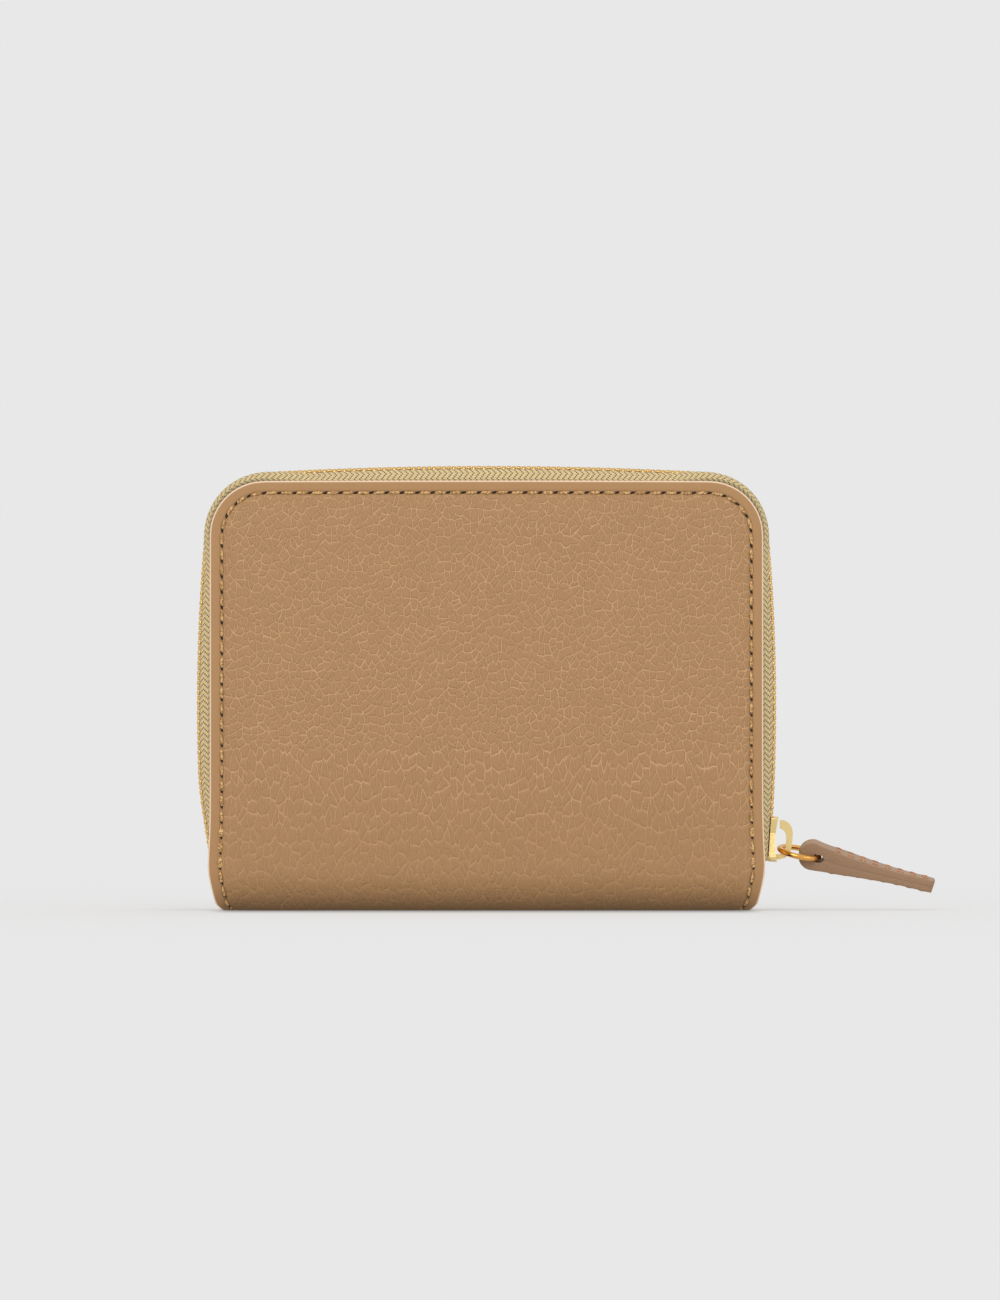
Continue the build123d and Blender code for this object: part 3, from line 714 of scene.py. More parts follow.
# %% Repeat a shape along a path
def repeat(name, path, outward, shape, finish, count, **inputs):
    """One mesh of count copies of a shape, along a path in millimetres with its outward directions."""
    line = bpy.data.meshes.new(name + "_path")
    line.from_pydata((path * MM).tolist(), [(i, i + 1) for i in range(len(path) - 1)], [])
    layer = line.attributes.new("outward", "FLOAT_VECTOR", "POINT")
    layer.data.foreach_set("vector", np.asarray(outward, np.float32).ravel())
    carrier = bpy.data.objects.new(name + "_path", line)
    bpy.context.scene.collection.objects.link(carrier)
    modifier = carrier.modifiers.new("repeat", "NODES")
    modifier.node_group = REPEATER
    wanted = {"Shape": shape, "Count": count, "Finish": finish, "Pitch": 1.0, "Part After": -1.0, **inputs}
    for socket in REPEATER.interface.items_tree:
        if socket.in_out == "INPUT" and socket.name in wanted:
            modifier[socket.identifier] = wanted[socket.name]
    carrier.update_tag()
    evaluated = carrier.evaluated_get(bpy.context.evaluated_depsgraph_get())
    mesh = bpy.data.meshes.new_from_object(evaluated)
    carrier.modifiers.remove(modifier)
    bpy.data.objects.remove(carrier)
    mesh.name = name
    mesh.polygons.foreach_set("use_smooth", [True] * len(mesh.polygons))
    piece = bpy.data.objects.new(name, mesh)
    bpy.context.scene.collection.objects.link(piece)
    print(f"{name}: {count} copies, {len(mesh.polygons)} faces")
    return piece


# %% [markdown]
# A stitch is two twisted plies of waxed thread that come up through one hole and go down the next. Its
# section is a flattened round that swells in the middle, with a shallow twist. A needle hole is drawn as
# a small dark lens between two stitches, painted shade for the depth of the hole. Both are drawn along X
# with their outside towards Z.

# %% Draw a stitch and a needle hole
def hidden_shape(name, points, faces):
    """A shape for the repeater: it isn't shown by itself."""
    mesh = bpy.data.meshes.new(name)
    mesh.from_pydata((np.asarray(points, float) * MM).tolist(), [], [list(face) for face in faces])
    return bpy.data.objects.new(name, mesh)


def spindle(length, width, height, sides=8, sections=6, twist=0.0, dive=0.0):
    """A closed round bar along X, thickest in the middle, with its ends dipping by dive."""
    points = []
    for i in range(sections):
        share = i / (sections - 1) * 2 - 1
        fat = max((1 - abs(share) ** 3.2) ** 0.5, 0.28)
        for j in range(sides):
            angle = 2 * math.pi * j / sides + twist * share
            pinch = 1 - 0.16 * math.cos(2 * (angle - twist * share * 2))
            y = math.cos(angle) * width / 2 * fat * pinch
            z = math.sin(angle) * height / 2 * fat * pinch - dive * share * share
            points.append((share * length / 2, y, z))
    faces = turned_round(grid_faces(sections, sides, around=True))
    first, last = list(range(sides)), [(sections - 1) * sides + j for j in range(sides)]
    return points, faces + [first, list(reversed(last))]


STITCH = hidden_shape("stitch", *spindle(2.3, 0.7, 0.6, twist=0.5, dive=0.13))
NEEDLE_HOLE = hidden_shape("hole", *spindle(1.15, 0.55, 0.34, sides=6, sections=5))
SMALL_STITCH = hidden_shape("small_stitch", *spindle(1.7, 0.4, 0.36, dive=0.1))
print("shapes ready")

# %% [markdown]
# The seam runs up one side, round the top and down the other, 2.4 mm inside the edge, and goes on round
# the spine. The path is walked on the flat leather, as straight runs and two quarter circles, and then
# turned round the fold like the leather itself. Near its lower ends the seam is locked with thicker
# stitches.

# %% Walk along the flat cover's seam
def flat_seam(inset, step=0.5):
    """Across and up along a line inside the cover's edge, from the right foot to the left."""
    half, corner, rise = HALF_WIDTH - inset, CORNER - inset, RISE - inset
    run = np.arange(0.6, rise - corner, step)
    arc = np.linspace(0, math.pi / 2, 24)
    flat = np.arange(corner - half, half - corner, step)
    across = np.concatenate([np.full(len(run), half), half - corner + corner * np.cos(arc), -flat])
    up = np.concatenate([run, rise - corner + corner * np.sin(arc), np.full(len(flat), rise)])
    other = slice(len(run) + len(arc) - 1, None, -1)
    return np.concatenate([across, -across[other]]), np.concatenate([up, up[other]])


def outward_of(up, side):
    """The leather's outward direction at a place this far up it."""
    turn = np.clip((up - FOOT) / FOLD, 0, math.pi / 2)
    sign = -1 if side == "front" else 1
    return np.stack([np.zeros(len(up)), sign * np.sin(turn), -np.cos(turn)], -1)


SEAM_PITCH = 3.08
THREAD_RISE, HOLE_RISE = 0.27, 0.14  # above the bottom of the seam's valley
LOCK_LOW, LOCK_HIGH = 7.2 * MM, 17.0 * MM
HOLE_SLANT = 0.35
for side in ("front", "back"):
    across, up = flat_seam(SEAM_INSET)
    thread_line = place_on_cover(across, up, SEAM_DEPTH - THREAD_RISE)
    hole_line = place_on_cover(across, up, SEAM_DEPTH - HOLE_RISE)
    if side == "back":
        thread_line[:, 1] *= -1
        hole_line[:, 1] *= -1
    outward = outward_of(up, side)
    count = int(round(distance_along(thread_line)[-1] / SEAM_PITCH)) + 1
    lock = {"Thick From": LOCK_LOW, "Thick To": LOCK_HIGH, "Thickening": 0.55}
    slant = {"Slant": 0.07, "Unevenness": 0.05, "Seed": 4, **lock}
    stitches = repeat(f"{side}_stitching", thread_line, outward, STITCH, THREAD, count, **slant)
    run = distance_along(hole_line)
    half_step = run[-1] / (count - 1) / 2
    inside = (run > half_step) & (run < run[-1] - half_step)
    between = hole_line[inside], outward[inside]
    holes = repeat(f"{side}_needle_holes", *between, NEEDLE_HOLE, HOLE_SHADE, count - 1, Slant=HOLE_SLANT)
    for piece in (stitches, holes):
        bend_at_fold(piece, side)
    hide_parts(f"{side}_seam_thread")

# %% [markdown]
# # The zip
# The line of the zip is five arcs: two very flat sides, a flat top and two round corners. Its size comes
# from the box of the teeth. `zip_line` walks along it and gives places and outward directions, and near
# the far foot it dives a little towards the cover, where the tape is tucked in.

# %% Work out the line of the zip
SIDE_RADIUS = 400.0
SIDE_MIDDLE = 41.0
TOP_RADIUS = 800.0
ZIP_CORNER = 14.0
ZIP_FOOT = 9.6
TOOTH_HALF = 0.95
ZIP_HALF = teeth_high[0] - TOOTH_HALF
ZIP_TOP = teeth_high[2] - TOOTH_HALF
TUCK = 1.3
TUCK_HIGH = 28.0  # the tuck has died out at this height


def corner_centre():
    """Where both the side's and the top's inner circles cross."""
    side, top = SIDE_RADIUS - ZIP_CORNER, TOP_RADIUS - ZIP_CORNER
    dx, dz = SIDE_RADIUS - ZIP_HALF, ZIP_TOP - TOP_RADIUS - SIDE_MIDDLE
    gap = math.hypot(dx, dz)
    turn = math.acos((gap**2 + side**2 - top**2) / (2 * gap * side))
    angle = math.atan2(dz, dx) + turn
    return ZIP_HALF - SIDE_RADIUS + side * math.cos(angle), SIDE_MIDDLE + side * math.sin(angle)


def zip_arcs(foot):
    """Centre, radius, start and end angle of each arc, from the right foot to the left."""
    cx, cz = corner_centre()
    start = math.asin((foot - SIDE_MIDDLE) / SIDE_RADIUS)
    side_end = math.atan2(cz - SIDE_MIDDLE, cx - ZIP_HALF + SIDE_RADIUS)
    top_start = math.atan2(cz - ZIP_TOP + TOP_RADIUS, cx)
    side, top = (ZIP_HALF - SIDE_RADIUS, SIDE_MIDDLE), (0.0, ZIP_TOP - TOP_RADIUS)
    return [
        (side, SIDE_RADIUS, start, side_end),
        ((cx, cz), ZIP_CORNER, side_end, top_start),
        (top, TOP_RADIUS, top_start, math.pi - top_start),
        ((-cx, cz), ZIP_CORNER, math.pi - top_start, math.pi - side_end),
        ((-side[0], side[1]), SIDE_RADIUS, math.pi - side_end, math.pi - start),
    ]


ARCS = zip_arcs(ZIP_FOOT)
ARC_LENGTHS = [radius * (end - start) for _, radius, start, end in ARCS]
ZIP_LENGTH = sum(ARC_LENGTHS)


def zip_line(distance):
    """x and z on the zip's line and its outward direction, at distances from the right foot."""
    distance = np.asarray(distance, float)
    point = np.zeros((*distance.shape, 2))
    outward = np.zeros((*distance.shape, 2))
    reached = 0.0
    for number, ((cx, cz), radius, start, _) in enumerate(ARCS):
        here = distance >= reached if number else np.full(distance.shape, True)
        angle = start + (distance - reached) / radius
        direction = np.stack([np.cos(angle), np.sin(angle)], -1)
        point = np.where(here[..., None], np.array([cx, cz]) + radius * direction, point)
        outward = np.where(here[..., None], direction, outward)
        reached += ARC_LENGTHS[number]
    tuck = TUCK * (1 - ease(ZIP_FOOT - 1.5, TUCK_HIGH, point[..., 1]))
    tuck = np.where(point[..., 0] < 0, tuck, 0)
    return point - outward * tuck[..., None], outward


print(f"the zip is {ZIP_LENGTH:.1f} mm long")

# %% [markdown]
# The tape is a sheet of twill cut about 15 mm wide. It lies flat where the teeth grip it, slopes in to
# the cover's edge and is sewn behind it. Each cross-section is a short profile between the zip's line
# and the nearest place on the cover's rim, and the sheet gets its thickness from that profile's own
# normals. A thicker cord is woven into the edge that carries the teeth. The tape bulges a little where
# it turns a corner, because its outer side is too short there, and its ends are cut on a slant.

# %% Weave the tapes
TAPE_THICKNESS = 0.5
TAPE_INSET = 1.1
TAPE_MARGIN_Y = HALF_DEPTH - LEATHER - 0.3
TAPE_EDGE_Y = 0.98
TAPE_FLAT_Y = 4.4
SEAM_ALLOWANCE = 4.0
TAPE_FOOT = 1.0  # how far the tape reaches past the first tooth
TAPE_SLANT, SLANT_REACH = 1.7, 12.0
TAPE_BELLY, BELLY_REACH = 1.45, 19.0  # how far the tape bulges where it turns a corner
TAPE_CORD = 0.5  # how much thicker the tape is along its toothed edge
TAPE_STEPS = 300


def on_rim(point, inset):
    """The nearest place to a point on a line this far inside the cover's edge."""
    core = np.stack([HALF_WIDTH - CORNER, TOP - CORNER], -1)
    inner = np.stack([np.clip(point[..., 0], -core[0], core[0]), np.minimum(point[..., 1], core[1])], -1)
    away = point - inner
    away /= np.linalg.norm(away, axis=-1, keepdims=True)
    return inner + away * (CORNER - inset)


def both_faces(middle, half):
    """The points of a sheet's outer face and then of its inner face."""
    return np.concatenate([(middle + half).reshape(-1, 3), (middle - half).reshape(-1, 3)])


def tape_profile():
    """Distance from the middle, share of the way from the zip's line to the rim, and inset past it."""
    flat = [(y, 0.0, 0.0) for y in np.linspace(TAPE_EDGE_Y, TAPE_FLAT_Y, 9)]
    ramp = []
    for share in np.linspace(0.1, 1.0, 12):
        y = TAPE_FLAT_Y + (TAPE_MARGIN_Y - TAPE_FLAT_Y) * share**0.92
        ramp.append((y, float(ease(0, 1, share)) * 0.75 + share * 0.25, 0.0))
    margin = [(TAPE_MARGIN_Y, 1.0, inset) for inset in (0.5, 1.2, 2.2, 3.2, SEAM_ALLOWANCE)]
    return np.array(flat + ramp + margin)


def tape_sheet(name, side):
    """The tape of one side and its width along the profile, in millimetres."""
    profile = tape_profile()
    steps = np.linspace(-TAPE_FOOT, ZIP_LENGTH + TAPE_FOOT, TAPE_STEPS)[:, None]
    halfway = TAPE_STEPS // 2
    slant = TAPE_SLANT * (1 - profile[:, 1])[None]
    near_start = (1 - steps / SLANT_REACH).clip(0, 1)
    near_end = (1 - (ZIP_LENGTH - steps) / SLANT_REACH).clip(0, 1)
    ends = near_start - near_end
    distance = steps + slant * ends
    line, outward = zip_line(distance)
    rim = on_rim(line, TAPE_INSET)
    inward = on_rim(line, TAPE_INSET + 1.0) - rim
    share = profile[:, 1][None, :, None]
    flat = line + (rim - line) * share + inward * profile[:, 2][None, :, None]
    corners = np.cumsum(ARC_LENGTHS)[[0, 2]] + np.array(ARC_LENGTHS)[[1, 3]] / 2
    near = [ease(0, 1, 1 - np.abs(distance - corner) / BELLY_REACH) for corner in corners]
    way_in = np.clip((profile[:, 0] - TAPE_EDGE_Y) / (TAPE_MARGIN_Y - TAPE_EDGE_Y), 0, 1)
    belly = np.sin(math.pi * way_in)
    flat = flat + outward * (TAPE_BELLY * (near[0] + near[1]) * belly[None] ** 0.7)[..., None]
    y = np.broadcast_to(-profile[:, 0][None], distance.shape)
    middle = np.stack([flat[..., 0], y, flat[..., 1]], -1)
    along = np.gradient(middle, axis=0)
    across = np.gradient(middle, axis=1)
    normal = np.cross(along, across)
    normal /= np.linalg.norm(normal, axis=-1, keepdims=True)
    outside = np.array([outward[halfway, 2, 0], 0, outward[halfway, 2, 1]])
    facing = np.sign((normal[halfway, 2] * outside).sum())
    cord = 1 + TAPE_CORD * np.exp(-(((profile[:, 0] - TAPE_EDGE_Y - 0.35) / 0.4) ** 2))
    half = (TAPE_THICKNESS / 2 * cord)[None, :, None] * facing
    points = both_faces(middle, normal * half)
    faces = shell_faces(*distance.shape)
    width = distance_along(middle[halfway])
    uv = np.stack([distance, np.broadcast_to(width[None], distance.shape)], -1).reshape(-1, 2)
    if side == "back":
        points, faces = mirrored(points, faces)
    tape = make_piece(name, points, faces, TAPE_CLOTH, uv=np.tile(uv, (2, 1)))
    return tape, width[-1]


for side in ("front", "back"):
    tape, width = tape_sheet(f"{side}_tape", side)
    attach(tape, f"{side}_half")
    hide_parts(f"{side}_zip_tape")
    length = ZIP_LENGTH + 2 * TAPE_FOOT
    length * MM

# %% [markdown]
# A tooth is a stamped piece of metal: a head that passes between the other row's teeth and two legs
# closed on the tape's cord. Its outline is drawn once, given a thickness with softened edges, and the
# repeater sets one every two millimetres. Below the slider the rows part, so the first few teeth of each
# row move and turn away from the middle.

# %% Stamp the teeth
TOOTH_PITCH = 2.0
TOOTH_REACH = 0.75
TOOTH_LEGS = 1.9
TOOTH_THICKNESS = 0.92
TOOTH_GRIP = 0.34
ROW_SPREAD = 0.38
SLIDER_HEIGHT = 14.3
TOOTH_SOFT = 0.16


def tooth_shape(name, sign):
    """One tooth: X along the zip, Y towards its own tape and Z out of the wallet."""
    half, soft = TOOTH_HALF, TOOTH_SOFT
    upper = [(0.82, TOOTH_GRIP), (TOOTH_LEGS, TOOTH_GRIP), (TOOTH_LEGS, half - 0.35)]
    upper += [(TOOTH_LEGS - 0.3, half), (0.3, half)]
    upper += [(0.35 - TOOTH_REACH, half - 0.05), (-TOOTH_REACH, half - 0.4)]
    outline = np.array(upper + [(y, -z) for y, z in reversed(upper)])
    centre = np.array([0.1, 0.0])
    small = outline - np.sign(outline - centre) * soft * 0.8
    small[0], small[-1] = outline[0], outline[-1]
    rows = []
    for x, ring in (
        (-TOOTH_THICKNESS / 2, small),
        (soft - TOOTH_THICKNESS / 2, outline),
        (TOOTH_THICKNESS / 2 - soft, outline),
        (TOOTH_THICKNESS / 2, small),
    ):
        rows += [(x, sign * y, z) for y, z in ring]
    count = len(outline)
    faces = grid_faces(4, count, around=True)
    faces += [list(range(count))[::-1], list(range(3 * count, 4 * count))]
    return hidden_shape(name, rows, turned_round(faces) if sign < 0 else faces)


def side_angle(height):
    """The angle at which the zip's side reaches a height."""
    return math.asin((height - SIDE_MIDDLE) / SIDE_RADIUS)


tooth_count = int(ZIP_LENGTH / TOOTH_PITCH)
first_tooth = (ZIP_LENGTH - (tooth_count - 0.5) * TOOTH_PITCH) / 2
slider_at = SIDE_RADIUS * (side_angle(SLIDER_HEIGHT) - side_angle(ZIP_FOOT))
for side, sign in (("front", 1), ("back", -1)):
    start = first_tooth + (0 if sign > 0 else TOOTH_PITCH / 2)
    distance = np.linspace(start, start + (tooth_count - 1) * TOOTH_PITCH, 4 * tooth_count)
    line, outward = zip_line(distance)
    path = np.stack([line[:, 0], np.zeros(len(line)), line[:, 1]], -1)
    outward = np.stack([outward[:, 0], np.zeros(len(line)), outward[:, 1]], -1)
    last_parted = round((slider_at - start) / TOOTH_PITCH - 0.5) + 0.5
    parting = {"Part After": last_parted, "Part Slope": -sign * ROW_SPREAD, "Pitch": TOOTH_PITCH * MM}
    shape = tooth_shape(f"{side}_tooth", sign)
    teeth = repeat(f"{side}_teeth", path, outward, shape, TOOTH_GOLD, tooth_count, **parting)
    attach(teeth, f"{side}_half")
    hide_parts(f"{side}_zip_teeth")

# %% [markdown]
# The slider's own shape is already right: two plates, a wedge between them and a bridge for the ring.
# Cast metal has no sharp edges, though. So its node stays, and a Weld and a Bevel modifier soften it.
# The stiff boards behind the leather are treated alike.

# %% Soften the slider and the boards
def soften(node, width_mm, finish):
    """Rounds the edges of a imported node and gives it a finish."""
    piece = frame["nodes"][node]
    weld = piece.modifiers.new("weld", "WELD")
    weld.merge_threshold = 0.002 * MM
    bevel = piece.modifiers.new("soft edges", "BEVEL")
    bevel.width = width_mm * MM
    bevel.segments = 3
    bevel.limit_method = "ANGLE"
    bevel.angle_limit = math.radians(32)
    piece.data.materials.clear()
    piece.data.materials.append(finish)
    return piece


slider = soften("zip_slider", 0.14, SATIN_GOLD)
for side in ("front", "back"):
    board = soften(f"{side}_stiffener_board", 0.1, BOARD)
print("slider and boards softened")

# %% [markdown]
# The ring turns in the slider's bridge and the pull turns on the ring, so both places are in the joints:
# each joint gives a point and an axis. The ring's middle is half way between the two points.

# %% Bend the ring
joints = {joint["name"]: joint for joint in frame["joints"]}
seat = np.array(joints["ring_swing"]["pos_m"]) / MM
hang = np.array(joints["tab_swing"]["pos_m"]) / MM
swing_axis = np.array(joints["ring_swing"]["axis"])
ring_out = (hang - seat) / np.linalg.norm(hang - seat)
ring_up = np.cross(ring_out, swing_axis)
RING_RADIUS = np.linalg.norm(hang - seat) / 2
RING_WIRE = 1.15


def ring_points(around, section):
    """Points of a round wire bent to a ring, flattened very slightly where it was rolled."""
    turn = np.linspace(0, 2 * math.pi, around, endpoint=False)[:, None]
    angle = np.linspace(0, 2 * math.pi, section, endpoint=False)[None]
    reach = RING_RADIUS + RING_WIRE / 2 * np.cos(angle)
    lift = RING_WIRE / 2 * 0.97 * np.sin(angle)
    flat = reach[..., None] * (np.cos(turn)[..., None] * ring_out + np.sin(turn)[..., None] * swing_axis)
    return ((seat + hang) / 2 + flat + lift[..., None] * ring_up).reshape(-1, 3)


RING_GRID = (96, 20)
ring_faces = turned_round(grid_faces(*RING_GRID, around=True, over=True))
ring = make_piece("ring", ring_points(*RING_GRID), ring_faces, RING_GOLD)
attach(ring, "ring")
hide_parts("pull_ring")

# %% [markdown]
# # The leather pull
# The pull is a strap folded round the ring and sewn to itself. It is drawn as a row of stations that
# follow the strap from its end, round the ring and back. Each station has an outer and an inner point,
# which gives the strap its thickness, and a rounded section is laid across it. It rolls a little
# towards its end, as a stiff strap does.

# %% Fold the pull round the ring
PULL_DROOP = math.radians(6.0)
PULL_LENGTH = 27.7
PULL_HEAD = 2.8
PULL_HEAD_X = -1.3
PULL_EYE_X = -0.5
PULL_EYE = 0.82  # half the height of the loop's opening
PULL_LIFT = 0.065  # the slope by which a stiff strap rises above a loose hang
PULL_THICKNESS = 2.5
PULL_NECK = 4.6
PULL_WIDTH = 6.0
PULL_TAPER = 19.0  # the length over which the head thins to the tail
PULL_ROLL = math.radians(-5.0)
pull_end = PULL_HEAD_X - PULL_HEAD + PULL_LENGTH
pull_along = ring_out * math.cos(PULL_DROOP) - ring_up * math.sin(PULL_DROOP)
pull_up = ring_up * math.cos(PULL_DROOP) + ring_out * math.sin(PULL_DROOP)


def on_pull(points):
    """Places given along, across and up from the ring, rolled and bent and set in the wallet's frame."""
    x, y, z = np.moveaxis(np.asarray(points, float), -1, 0)
    roll = PULL_ROLL * ease(2.0, pull_end, x)
    bend = PULL_LIFT * np.maximum(x, 0)
    side = y * np.cos(roll) - z * np.sin(roll)
    rise = y * np.sin(roll) + z * np.cos(roll) + bend
    across = np.cross(pull_up, pull_along)
    return hang + x[..., None] * pull_along + side[..., None] * across + rise[..., None] * pull_up


def pull_face(x):
    """How far the strap's outer face lies from its middle: it thins evenly from the head to the tail."""
    share = np.clip((x - PULL_HEAD_X) / PULL_TAPER, 0, 1)
    return PULL_THICKNESS / 2 + (PULL_HEAD - PULL_THICKNESS / 2) * (1 - share) ** 1.6


def pull_stations():
    """Outer and inner points of the strap's section, from one end round the ring to the other."""
    x = np.concatenate([np.linspace(pull_end, 9.0, 26), np.linspace(8.6, PULL_HEAD_X, 30)])
    outer_z = pull_face(x)
    inner_x = x + (PULL_EYE_X - PULL_HEAD_X) * (1 - ease(PULL_HEAD_X, 3.0, x))
    inner_z = 0.006 + (PULL_EYE - 0.006) * (1 - ease(-0.3, 0.9, x))
    turn = np.linspace(math.pi / 2, 3 * math.pi / 2, 25)[1:-1]
    loop = np.stack([np.cos(turn), np.sin(turn)], -1)
    top_outer, top_inner = np.stack([x, outer_z], -1), np.stack([inner_x, inner_z], -1)
    head, eye = np.array([PULL_HEAD_X, 0.0]), np.array([PULL_EYE_X, 0.0])
    flip = np.array([1, -1])
    outer = np.concatenate([top_outer, head + PULL_HEAD * loop, top_outer[::-1] * flip])
    inner = np.concatenate([top_inner, eye + PULL_EYE * loop, top_inner[::-1] * flip])
    return outer, inner


def strap_section():
    """Points round a strap's rounded section: side, face, and how far out and how level each one is."""
    corner = np.linspace(0, math.pi / 2, 4)
    section = []
    for side, face in ((1, 1), (1, -1), (-1, -1), (-1, 1)):
        turns = corner if side == face else corner[::-1]
        section += [(side, face, math.sin(turn), math.cos(turn)) for turn in turns]
        if side != face:
            section += [(0.5 * side, face, 0.0, 1.0), (-0.5 * side, face, 0.0, 1.0)]
    return section


def pull_strap():
    """Points and faces of the strap, with the values that its finish reads."""
    outer, inner = pull_stations()
    x = outer[:, 0]
    half = PULL_NECK / 2 + (PULL_WIDTH - PULL_NECK) / 2 * ease(1.2, 5.4, x)
    end = np.clip((x - pull_end + 1.4) / 1.4, 0, 1)
    half = half - 0.7 * (1 - np.sqrt(1 - end**2 * 0.96))
    thick = np.linalg.norm(outer - inner, axis=1)
    round_out, round_in = np.minimum(0.36, 0.45 * thick), np.minimum(0.05, 0.45 * thick)
    rows, rim = [], []
    for side, face, out, level in strap_section():
        soft = round_out if face > 0 else round_in
        y = side * (half - soft + soft * out)
        depth = soft * (1 - level) / thick
        share = depth if face > 0 else 1 - depth
        flat = outer * (1 - share)[:, None] + inner * share[:, None]
        rows.append(np.stack([flat[:, 0], y, flat[:, 1]], -1))
        rim.append(half - np.abs(y) - (0.0 if face > 0 else 0.4))
    points = np.stack(rows, 1)
    count, columns = points.shape[:2]
    faces = grid_faces(count, columns, around=True)
    faces += [list(range(columns))[::-1], [(count - 1) * columns + c for c in range(columns)]]
    loop = np.broadcast_to(ease(2.2, 3.9, PULL_HEAD_X - x)[:, None], (count, columns))
    return points.reshape(-1, 3), faces, {"rim": np.stack(rim, 1).ravel(), "loop": loop.ravel()}


points, faces, values = pull_strap()
pull = make_piece("pull_strap", on_pull(points), faces, PULL_LEATHER, values)
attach(pull, "tab")
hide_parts("pull_tab")

# %% [markdown]
# Two seams hold the pull together, one beside each edge. The repeater sews them on both faces: its path
# runs down the strap's face, and its outward direction is read from the strap's own bend.

# %% Sew the pull
PULL_SEAM = (3.4, 21.6)
PULL_STITCH_PITCH = 2.6
PULL_STITCH_INSET = 1.2
PROUD = 0.02
for face in (1, -1):
    for side in (1, -1):
        x = np.linspace(*PULL_SEAM, 20)
        y = np.full(len(x), side * (PULL_WIDTH / 2 - PULL_STITCH_INSET))
        line = np.stack([x, y, face * (pull_face(x) + PROUD)], -1)
        surface = on_pull(line)
        outward = on_pull(line + np.array([0, 0, face])) - surface
        count = int((PULL_SEAM[1] - PULL_SEAM[0]) / PULL_STITCH_PITCH) + 1
        name = f"pull_stitches_{'upper' if face > 0 else 'lower'}_{'rear' if side > 0 else 'near'}"
        row = repeat(name, surface, outward, SMALL_STITCH, PULL_THREAD, count, Slant=0.06)
        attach(row, "tab")
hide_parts("pull_tab_thread")

# %% [markdown]
# # Inside
# When the covers open, the inside shows: a lining of dark twill down each cover, three stepped card
# pockets on each side, a coin pocket in the middle and folded gussets that join them. The lining is
# drawn like the cover, from the same flat sheet, only deeper and a little smaller.

# %% Line the covers
LINING_INSET = 1.5
LINING_DEPTH = 2.2
LINING_THICKNESS = 0.5
LINING_ROUND = 0.2
LINING_SPACING = 4.0


def lining_relief(across, up, rim):
    """Cloth has no seam valley and no swell, only a rounded edge."""
    return rounded_edge(rim, LINING_ROUND)


for side in ("front", "back"):
    shape = (LINING_INSET, LINING_DEPTH, LINING_THICKNESS, lining_relief, LINING_SPACING)
    lining = folded_sheet(f"{side}_lining_cloth", side, *shape, LINING_CLOTH)
    bend_at_fold(lining, side)
    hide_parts(f"{side}_lining", "spine_lining")
    cut = ((HALF_WIDTH - LINING_INSET) * 2 * MM, (RISE - LINING_INSET) * MM)

# %% [markdown]
# The card pockets are plain panels of thin leather, and the coin pocket's walls and pleats are cloth on a
# stiff core. Their shape is already right, so their nodes stay and get softened edges and a finish. Each
# panel gets a row of small stitches under its top edge, which follows a card pocket's thumb notch.

# %% Finish the pockets
NOTCH_RADIUS = 9.0
NOTCH_DEPTH = 2.2
POCKET_SEAM = 1.7
POCKET_STITCH_PITCH = 2.5
POCKET_SIDE = 2.2  # the stitches stay this far from a panel's sides
SUNK = 0.04


def panel_seam(node, notched, facing):
    """The line of the stitches under a panel's top edge, on the face that looks along y this way."""
    low, high = box_mm(node)
    across = np.linspace(low[0] + POCKET_SIDE, high[0] - POCKET_SIDE, 160)
    height = np.full(len(across), high[2] - POCKET_SEAM)
    if notched:
        middle = high[2] + NOTCH_RADIUS - NOTCH_DEPTH
        reach = NOTCH_RADIUS + POCKET_SEAM
        under = middle - np.sqrt(np.maximum(reach**2 - across**2, 0))
        height = np.minimum(height, np.where(np.abs(across) < reach, under, high[2]))
    y = high[1] - SUNK if facing > 0 else low[1] + SUNK
    return np.stack([across, np.full(len(across), y), height], -1)


for side, sign in (("front", -1), ("back", 1)):
    steps = ("upper", "middle", "lower")
    panels = [(f"{side}_card_pocket_{step}", f"{side}_half", -sign) for step in steps]
    panels.append((f"coin_pocket_{side}_wall", "core", sign))
    for node, rides, facing in panels:
        notched = rides != "core"
        panel = soften(node, 0.16, POCKET_LEATHER if notched else COIN_CLOTH)
        line = panel_seam(node, notched, facing)
        outward = np.tile([0.0, facing, 0.0], (len(line), 1))
        count = int(distance_along(line)[-1] / POCKET_STITCH_PITCH)
        row = repeat(f"{node}_stitches", line, outward, SMALL_STITCH, PULL_THREAD, count)
        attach(row, rides)
for side in ("right", "left"):
    pleat = soften(f"coin_pocket_{side}_pleat", 0.12, COIN_CLOTH)

# %% [markdown]
# A gusset is a strip of cloth folded like a fan between a cover and the coin pocket. On the wallet it
# opens with the cover, its inner edge staying with the pocket and its outer edge going with the cover.
# Here the fan is drawn closed, and its place is only baked into its points: it rides on no body.

# %% Fold the gussets
GUSSET_FOLDS = 5
GUSSET_THICKNESS = 0.4
GUSSET_GAP = 0.3
GUSSET_CLOTH = 22.0  # ten slopes of 2.2 mm, laid flat
GUSSET_MIDDLE = 40.0


